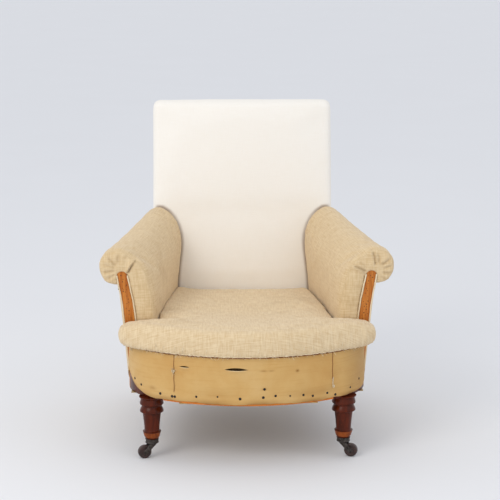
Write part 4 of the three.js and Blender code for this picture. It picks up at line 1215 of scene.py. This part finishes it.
# %% The scatter tree and the strand tool
def scatter_tree():
    """The tree, with its named inputs."""
    tree = bpy.data.node_groups.new("scatter small pieces", "GeometryNodeTree")
    sockets = {}
    for name, kind in (("Points", "NodeSocketGeometry"), ("Shape", "NodeSocketObject"),
                       ("Seed", "NodeSocketInt"), ("Smallest", "NodeSocketFloat"),
                       ("Largest", "NodeSocketFloat"), ("Tilt", "NodeSocketFloat"),
                       ("Finish", "NodeSocketMaterial")):
        sockets[name] = tree.interface.new_socket(name, in_out="INPUT", socket_type=kind).identifier
    tree.interface.new_socket("Pieces", in_out="OUTPUT", socket_type="NodeSocketGeometry")
    given = node(tree, "NodeGroupInput").outputs
    shape = node(tree, "GeometryNodeObjectInfo", {"Object": given["Shape"], "As Instance": True})
    facing, running = (
        node(tree, "GeometryNodeInputNamedAttribute", {"Name": name}, data_type="FLOAT_VECTOR")
        for name in ("facing", "running"))
    up = node(tree, "FunctionNodeAlignRotationToVector", {"Vector": facing.outputs[0]}, axis="Z")
    turned_to = node(tree, "FunctionNodeAlignRotationToVector", {
        "Rotation": up.outputs[0], "Vector": running.outputs[0]}, axis="X", pivot_axis="Z")
    least, most = (
        node(tree, "ShaderNodeVectorMath", {0: (end, end, end), "Scale": given["Tilt"]},
             operation="SCALE") for end in (-1, 1))
    tilt = node(tree, "FunctionNodeRandomValue", {
        0: least.outputs[0], 1: most.outputs[0], "Seed": given["Seed"]}, data_type="FLOAT_VECTOR")
    lean = node(tree, "FunctionNodeEulerToRotation", {0: tilt.outputs[0]})
    leaned = node(tree, "FunctionNodeRotateRotation", {
        0: turned_to.outputs[0], 1: lean.outputs[0]}, rotation_space="LOCAL")
    size = node(tree, "FunctionNodeRandomValue", {
        2: given["Smallest"], 3: given["Largest"], "Seed": given["Seed"]}, data_type="FLOAT")
    placed = node(tree, "GeometryNodeInstanceOnPoints", {
        "Points": given["Points"], "Instance": shape.outputs["Geometry"],
        "Rotation": leaned.outputs[0], "Scale": size.outputs[1]})
    real = node(tree, "GeometryNodeRealizeInstances", {0: placed.outputs[0]})
    finished = node(tree, "GeometryNodeSetMaterial", {
        "Geometry": real.outputs[0], "Material": given["Finish"]})
    node(tree, "NodeGroupOutput", {0: finished.outputs[0]})
    return tree, sockets


SCATTER, SOCKETS = scatter_tree()


def scattered(name, spots, shape, seed, sizes, tilt, finish):
    """Copies of a shape on spots, each of which is (place, facing, running)."""
    mesh = bpy.data.meshes.new(name)
    mesh.from_pydata([tuple(s[0]) for s in spots], [], [])
    made = linked(name, mesh)
    set_attribute(made, "facing", np.array([tuple(s[1]) for s in spots]))
    set_attribute(made, "running", np.array([tuple(s[2]) for s in spots]))
    grow = made.modifiers.new("scatter", "NODES")
    grow.node_group = SCATTER
    for key, value in (("Shape", shape), ("Seed", seed), ("Smallest", sizes[0]),
                       ("Largest", sizes[1]), ("Tilt", tilt), ("Finish", finish)):
        grow[SOCKETS[key]] = value
    baked(made)
    made.data.shade_smooth()
    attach(made, "root")
    print(name, len(spots), "copies,", len(made.data.polygons), "faces")
    return made


def tube(path, radius, sides=6):
    """Points and faces of a round strand along a path."""
    path = [Vector(p) for p in path]
    points, faces = [], []
    normal = None
    for i, at in enumerate(path):
        run = (path[min(i + 1, len(path) - 1)] - path[max(i - 1, 0)]).normalized()
        if normal is None:
            normal = run.orthogonal().normalized()
        normal = (normal - run * normal.dot(run)).normalized()
        other = run.cross(normal)
        for k in range(sides):
            angle = 2 * math.pi * k / sides
            points.append(at + (normal * math.cos(angle) + other * math.sin(angle)) * radius)
    for i in range(len(path) - 1):
        for k in range(sides):
            a, b = i * sides + k, i * sides + (k + 1) % sides
            faces.append((a, b, b + sides, a + sides))
    faces.append(tuple(range(sides))[::-1])
    faces.append(tuple(range((len(path) - 1) * sides, len(path) * sides)))
    return points, faces


print("scatter tree with", len(SOCKETS), "inputs")

# %% Three small shapes to scatter
tack = piece_from("tack_head", *turned([
    (0.0034, -0.0004), (0.0036, 0.0002), (0.003, 0.0009), (0.0016, 0.0014)],
    9, (0, 0, 0), *UP), TACK)
strand = piece_from("loose_strand", *tube([
    (0, 0, -0.001), (0.0006, 0, 0.004), (0.0022, 0.0004, 0.008), (0.0026, 0.0018, 0.0115)],
    0.00038, 4), TWINE)
stitch = piece_from("stitch", *tube([
    (-0.005, 0, -0.001), (-0.003, 0, 0.0006), (0.003, 0, 0.0006), (0.005, 0, -0.001)],
    0.0006, 5), TWINE)
print("shapes:", [(s.name, len(s.data.polygons)) for s in (tack, strand, stitch)])

# %% Tacks and the holes of old tacks
# Tacks along the border's foot
spots = []
for x, z in TACKS:
    at, outward = bow(travel_to(x / 1000), 0.0014)
    spots.append(((at.x, at.y, z_at(z)), outward, (0, 0, 1)))
scattered("border_tacks", spots, tack, 3, (0.85, 1.1), 0.12, TACK)

# Tacks round the outside cloths: along the foot, under the scroll, and up the posts
spots = []
for sign, side_name in ((-1, "left"), (1, "right")):
    stations = outer_grid(f"outside_arm_{side_name}", 1, 2, 0, sign)
    at = [s for s, _ in stations]
    for level, inward in ((0, 0.007), (-1, -0.007)):
        heights = [levels[level][0] for _, levels in stations]
        outs = [levels[level][1] for _, levels in stations]
        for y in np.arange(at[0] + (0.08 if level == 0 else 0.012), at[-1] - 0.008, 0.034):
            spots.append(((sign * (float(np.interp(y, at, outs)) + 0.0002), float(y),
                           float(np.interp(y, at, heights)) + inward), (sign, 0, 0), (0, 0, 1)))
for z, levels in outer_grid("outside_back", 2, 0, 1, 1):
    for x, out in (levels[0], levels[-1]):
        spots.append(((x - math.copysign(0.007, x), out + 0.0002, z), (0, 1, 0), (0, 0, 1)))
scattered("outside_tacks", spots, tack, 5, (0.8, 1.05), 0.15, TACK)

# Holes that old tacks left in the bare facings, in an uneven double row
rng = random.Random(5)
spots = []
for side_name in ("left", "right"):
    heights, low_edge, high_edge = stump_edges(side_name)
    for z in np.arange(z_at(322), z_at(480), 0.0085):
        middle = (np.interp(z, heights, low_edge) + np.interp(z, heights, high_edge)) / 2
        at = (middle + rng.uniform(-0.006, 0.006), y_at(87.9), z + rng.uniform(-0.003, 0.003))
        spots.append((at, (0, -1, 0), (0, 0, 1)))
scattered("facing_holes", spots, tack, 9, (0.22, 0.42), 0.2, TACK)

# %% Frayed threads and stitches
# Threads along the seat's hem: short, loose and uneven, more of them at the corners
rng = random.Random(17)
spots = []
for k in range(230):
    travel = rng.uniform(-0.375, 0.375)
    if rng.random() < 0.3:
        travel = math.copysign(rng.uniform(0.29, 0.38), travel)
    at, outward = bow(travel, 0.0085 + rng.uniform(-0.003, 0.003))
    spots.append(((at.x, at.y, z_at(300.5 + rng.uniform(-1.5, 2.5))),
                  (outward + Vector((rng.uniform(-1, 1), 0, -0.9))).normalized(), (1, 0, 0)))
scattered("hem_threads", spots, strand, 8, (0.35, 0.95), 0.5, TWINE)

# A white tuft where the hem's thread ends at the left corner, and the frayed tie below it
spots = []
for x, z, count, spread in ((-303, 289, 22, 3.5), (-194, 257, 16, 4.0), (-194, 250, 8, 3.0),
                            (317, 300, 14, 5.0)):
    for _ in range(count):
        at, outward = bow(travel_to(x / 1000), 0.003)
        tuft = (at.x + rng.uniform(-1, 1) * spread / 1000, at.y,
                z / 1000 + rng.uniform(-1, 1) * spread / 1000)
        away = outward * 0.8 + Vector((rng.uniform(-1, 1), 0, rng.uniform(-1.2, 0.8)))
        spots.append((tuft, away.normalized(), (1, 0, 0)))
scattered("tie_tufts", spots, strand, 12, (0.4, 1.0), 0.6, TWINE)

# Long stitches under the seat's edge roll, which show as pale ticks in the hessian
spots = []
for k in range(25):
    travel = -0.33 + 0.66 * k / 24 + rng.uniform(-0.006, 0.006)
    at, outward = bow(travel, 0.0172)
    spots.append(((at.x, at.y, z_at(318 + rng.uniform(-3, 3))), outward, (0.1, 0, 1)))
scattered("roll_stitches", spots, stitch, 21, (0.9, 1.3), 0.1, TWINE)

for shape in (tack, strand, stitch):
    bpy.data.objects.remove(shape)

# %% [markdown]
# ## Ties and lashing
#
# Two vertical threads hold the border to the rail. The right one is double and ends in a knot.
# Under the seat a jute cord runs over each row of springs and is tied to the rails.

# %% Seams and ties on the border
def strands(name, paths, radius, finish, sides=6):
    """Several strands as one piece."""
    points, faces = [], []
    for path in paths:
        more, sides_of = tube(path, radius, sides)
        faces += [tuple(k + len(points) for k in face) for face in sides_of]
        points += more
    made = piece_from(name, points, faces, finish)
    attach(made, "root")
    return made


def down_the_border(x, z_from, z_to, sway, steps=24):
    """A thread's path on the border cloth."""
    path = []
    for k in range(steps + 1):
        z = z_from + (z_to - z_from) * k / steps
        at, outward = bow(travel_to((x + sway * math.sin(k * 0.7)) / 1000), 0.0031)
        path.append((at.x, at.y, z_at(z)))
    return path


def knot(x, z, size):
    """A small trefoil knot on the border."""
    at, outward = bow(travel_to(x / 1000), 0.005)
    across = Vector((-outward.y, outward.x, 0))
    path = []
    for k in range(49):
        t = 2 * math.pi * k / 48
        a = math.sin(t) + 2 * math.sin(2 * t)
        b = math.cos(t) - 2 * math.cos(2 * t)
        c = -math.sin(3 * t)
        path.append(at + (across * a + Vector((0, 0, 1)) * b + outward * c) * size
                    + Vector((0, 0, z_at(z))))
    return path


# Rust from the tacks has turned the seams' thread brown
RUST_THREAD = mottled("old rust-brown seam thread", "9a6230", "6b3a1a", 0.0, 0.85, 600)
strands("border_seams", [down_the_border(-193, 299, 197, 0.5),
                         down_the_border(219, 296, 226, 0.4)], 0.0007, RUST_THREAD)
strands("border_ties", [down_the_border(219.5, 228, 208, 0.4),
                        down_the_border(221.5, 230, 208, 0.3)], 0.0006, TWINE)


print("border: two seams and two ties")


# %% Hems
def round_the_hem(margin, z, seed, sway):
    """A wavering path along the seat's lower edge."""
    travels = np.linspace(-0.372, 0.372, 260)
    ups, outs = waver(travels * 95, seed, 6), waver(travels * 60, seed + 1, 6)
    path = []
    for travel, up, out in zip(travels, ups, outs):
        at, outward = bow(travel, margin + out * sway)
        path.append((at.x, at.y, z_at(z) + up * sway))
    return path


# The hem's rolled edge is pale; under it runs the rust-brown line of the old nailing tape, drawn
# dark also as painted shadow under the roll
HEM_ROLL = woven("rolled hessian edge, rubbed pale", "f2e4c6", "cdb288", pitch=HESSIAN_PITCH,
                 slub=0.6, relief=0.0004, soil="b99a68", on_object=True)
strands("seat_hem_roll", [round_the_hem(0.0082, 302.2, 40, 0.0012)], 0.0019, HEM_ROLL, 8)
# Two thin rust-brown lines: the old tape, and painted shadow under the roll
strands("seat_hem_tape", [round_the_hem(0.0058, 299.0, 50, 0.0013),
                          round_the_hem(0.0052, 297.8, 60, 0.0016)], 0.001, RUST_THREAD)
# Beside each bare facing the hessian's edge is rolled under
hems = []
for side_name in ("left", "right"):
    heights, low_edge, high_edge = stump_edges(side_name)
    y = y_at(87)
    up = np.linspace(z_at(318), z_at(478), 30)
    bend = waver(up * 160, 70, 5) * 0.0006
    for edge, out in ((low_edge, -1), (high_edge, 1)):
        hems.append([(float(np.interp(z, heights, edge)) + out * (0.0016 - b), y, z)
                     for z, b in zip(up, bend)])
strands("facing_hems", hems, 0.0021, HEM_ROLL, 8)
strands("border_knots", [knot(221, 206, 0.0012), knot(-194, 253, 0.0014)], 0.0009, TWINE)
print("hems:", len(hems), "beside the facings, one roll and one tape under the seat")

# %% Lashing cords over the springs
RAIL_TOP = 0.2425
lashing = []
spring_tops = []
for name in NODES:
    if name.startswith("seat_spring"):
        low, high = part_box(name)
        spring_tops.append(((low[0] + high[0]) / 2, (low[1] + high[1]) / 2, high[2]))
for x in sorted({round(top[0], 2) for top in spring_tops}):
    row = sorted((top for top in spring_tops if abs(top[0] - x) < 0.02), key=lambda top: top[1])
    z = row[0][2] - 0.0068
    ends = [(x, row[0][1] - 0.085, RAIL_TOP),
            *[(x, top[1] + d, z) for top in row for d in (-0.036, 0.036)],
            (x, row[-1][1] + 0.1, RAIL_TOP)]
    path = []
    for a, b in zip(ends[:-1], ends[1:]):
        path += [Vector(a).lerp(Vector(b), t / 6) for t in range(6)]
    lashing.append(path + [Vector(ends[-1])])
strands("spring_lashing", lashing, 0.0016, JUTE_FLAT)
print(len(lashing), "lashing cords over", len(spring_tops), "springs")

# %% [markdown]
# ## The room, the light and the camera
#
# A large pale floor, a wide soft light from the upper left and a weaker one from the right. The
# camera stands where the photograph was taken from: about 1.4 m high and 4.3 m away, a little to
# the left, looking down by eleven degrees through a long lens.

# %% Floor, light and camera
def plain(name, colour, roughness):
    """A nearly plain matt surface with very faint clouds."""
    made, tree, shader = material(name, Roughness=roughness)
    where = node(tree, "ShaderNodeTexCoord").outputs["Object"]
    cloud = node(tree, "ShaderNodeTexNoise", {"Vector": where, "Scale": 1.5, "Detail": 2.0})
    share = node(tree, "ShaderNodeMapRange", {"Value": cloud.outputs["Fac"], "To Max": 0.05})
    clouded = node(tree, "ShaderNodeMix", {
        0: share.outputs[0], 6: srgb(colour), 7: srgb("b8b8b8")}, data_type="RGBA")
    tree.links.new(clouded.outputs[2], shader.inputs["Base Color"])
    return made


floor = piece_from("studio_floor", [(-14, -10, 0), (14, -10, 0), (14, 30, 0), (-14, 30, 0)],
                   [(0, 1, 2, 3)], plain("pale studio floor", "e6e7ea", 0.9))
floor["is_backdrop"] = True

scene = bpy.context.scene
scene.view_settings.view_transform = "Standard"
world = bpy.data.worlds.new("soft studio")
scene.world = world
world.use_nodes = True
world.node_tree.nodes["Background"].inputs["Color"].default_value = srgb("f2f4f8")
world.node_tree.nodes["Background"].inputs["Strength"].default_value = 0.98


def soft_light(name, at, target, size, watts, colour):
    """A square area light aimed at a point."""
    data = bpy.data.lights.new(name, "AREA")
    data.shape = "SQUARE"
    data.size = size
    data.energy = watts
    data.color = srgb(colour)[:3]
    lamp = bpy.data.objects.new(name, data)
    scene.collection.objects.link(lamp)
    lamp.location = at
    lamp.rotation_euler = (Vector(target) - Vector(at)).to_track_quat("-Z", "Y").to_euler()


soft_light("window", (-2.4, -3.0, 3.0), (0, 0, 0.4), 2.2, 58, "fffaf2")
soft_light("fill", (3.0, -2.2, 2.2), (0, 0, 0.4), 2.4, 6, "f4f8ff")

AZIMUTH = math.radians(-1.6)
PITCH = math.radians(10.86)
DISTANCE = 4.348
HEIGHT = 1.396
TO_THE_RIGHT = 0.0055
LENS_MM = 122.4
camera_data = bpy.data.cameras.new("camera")
camera_data.lens = LENS_MM
camera_data.sensor_width = 36
camera = bpy.data.objects.new("camera", camera_data)
scene.collection.objects.link(camera)
camera.location = (DISTANCE * math.sin(AZIMUTH) + TO_THE_RIGHT,
                   FRONT_SHIFT - DISTANCE * math.cos(AZIMUTH), HEIGHT)
camera.rotation_euler = (math.pi / 2 - PITCH, 0, AZIMUTH)
scene.camera = camera
print("camera at", [round(v, 3) for v in camera.location])

# %% [markdown]
# ## Size
#
# The visual model stays inside the frame's box, apart from the thickness of cloth. The box of
# everything shown is worked out below.

low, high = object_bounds()
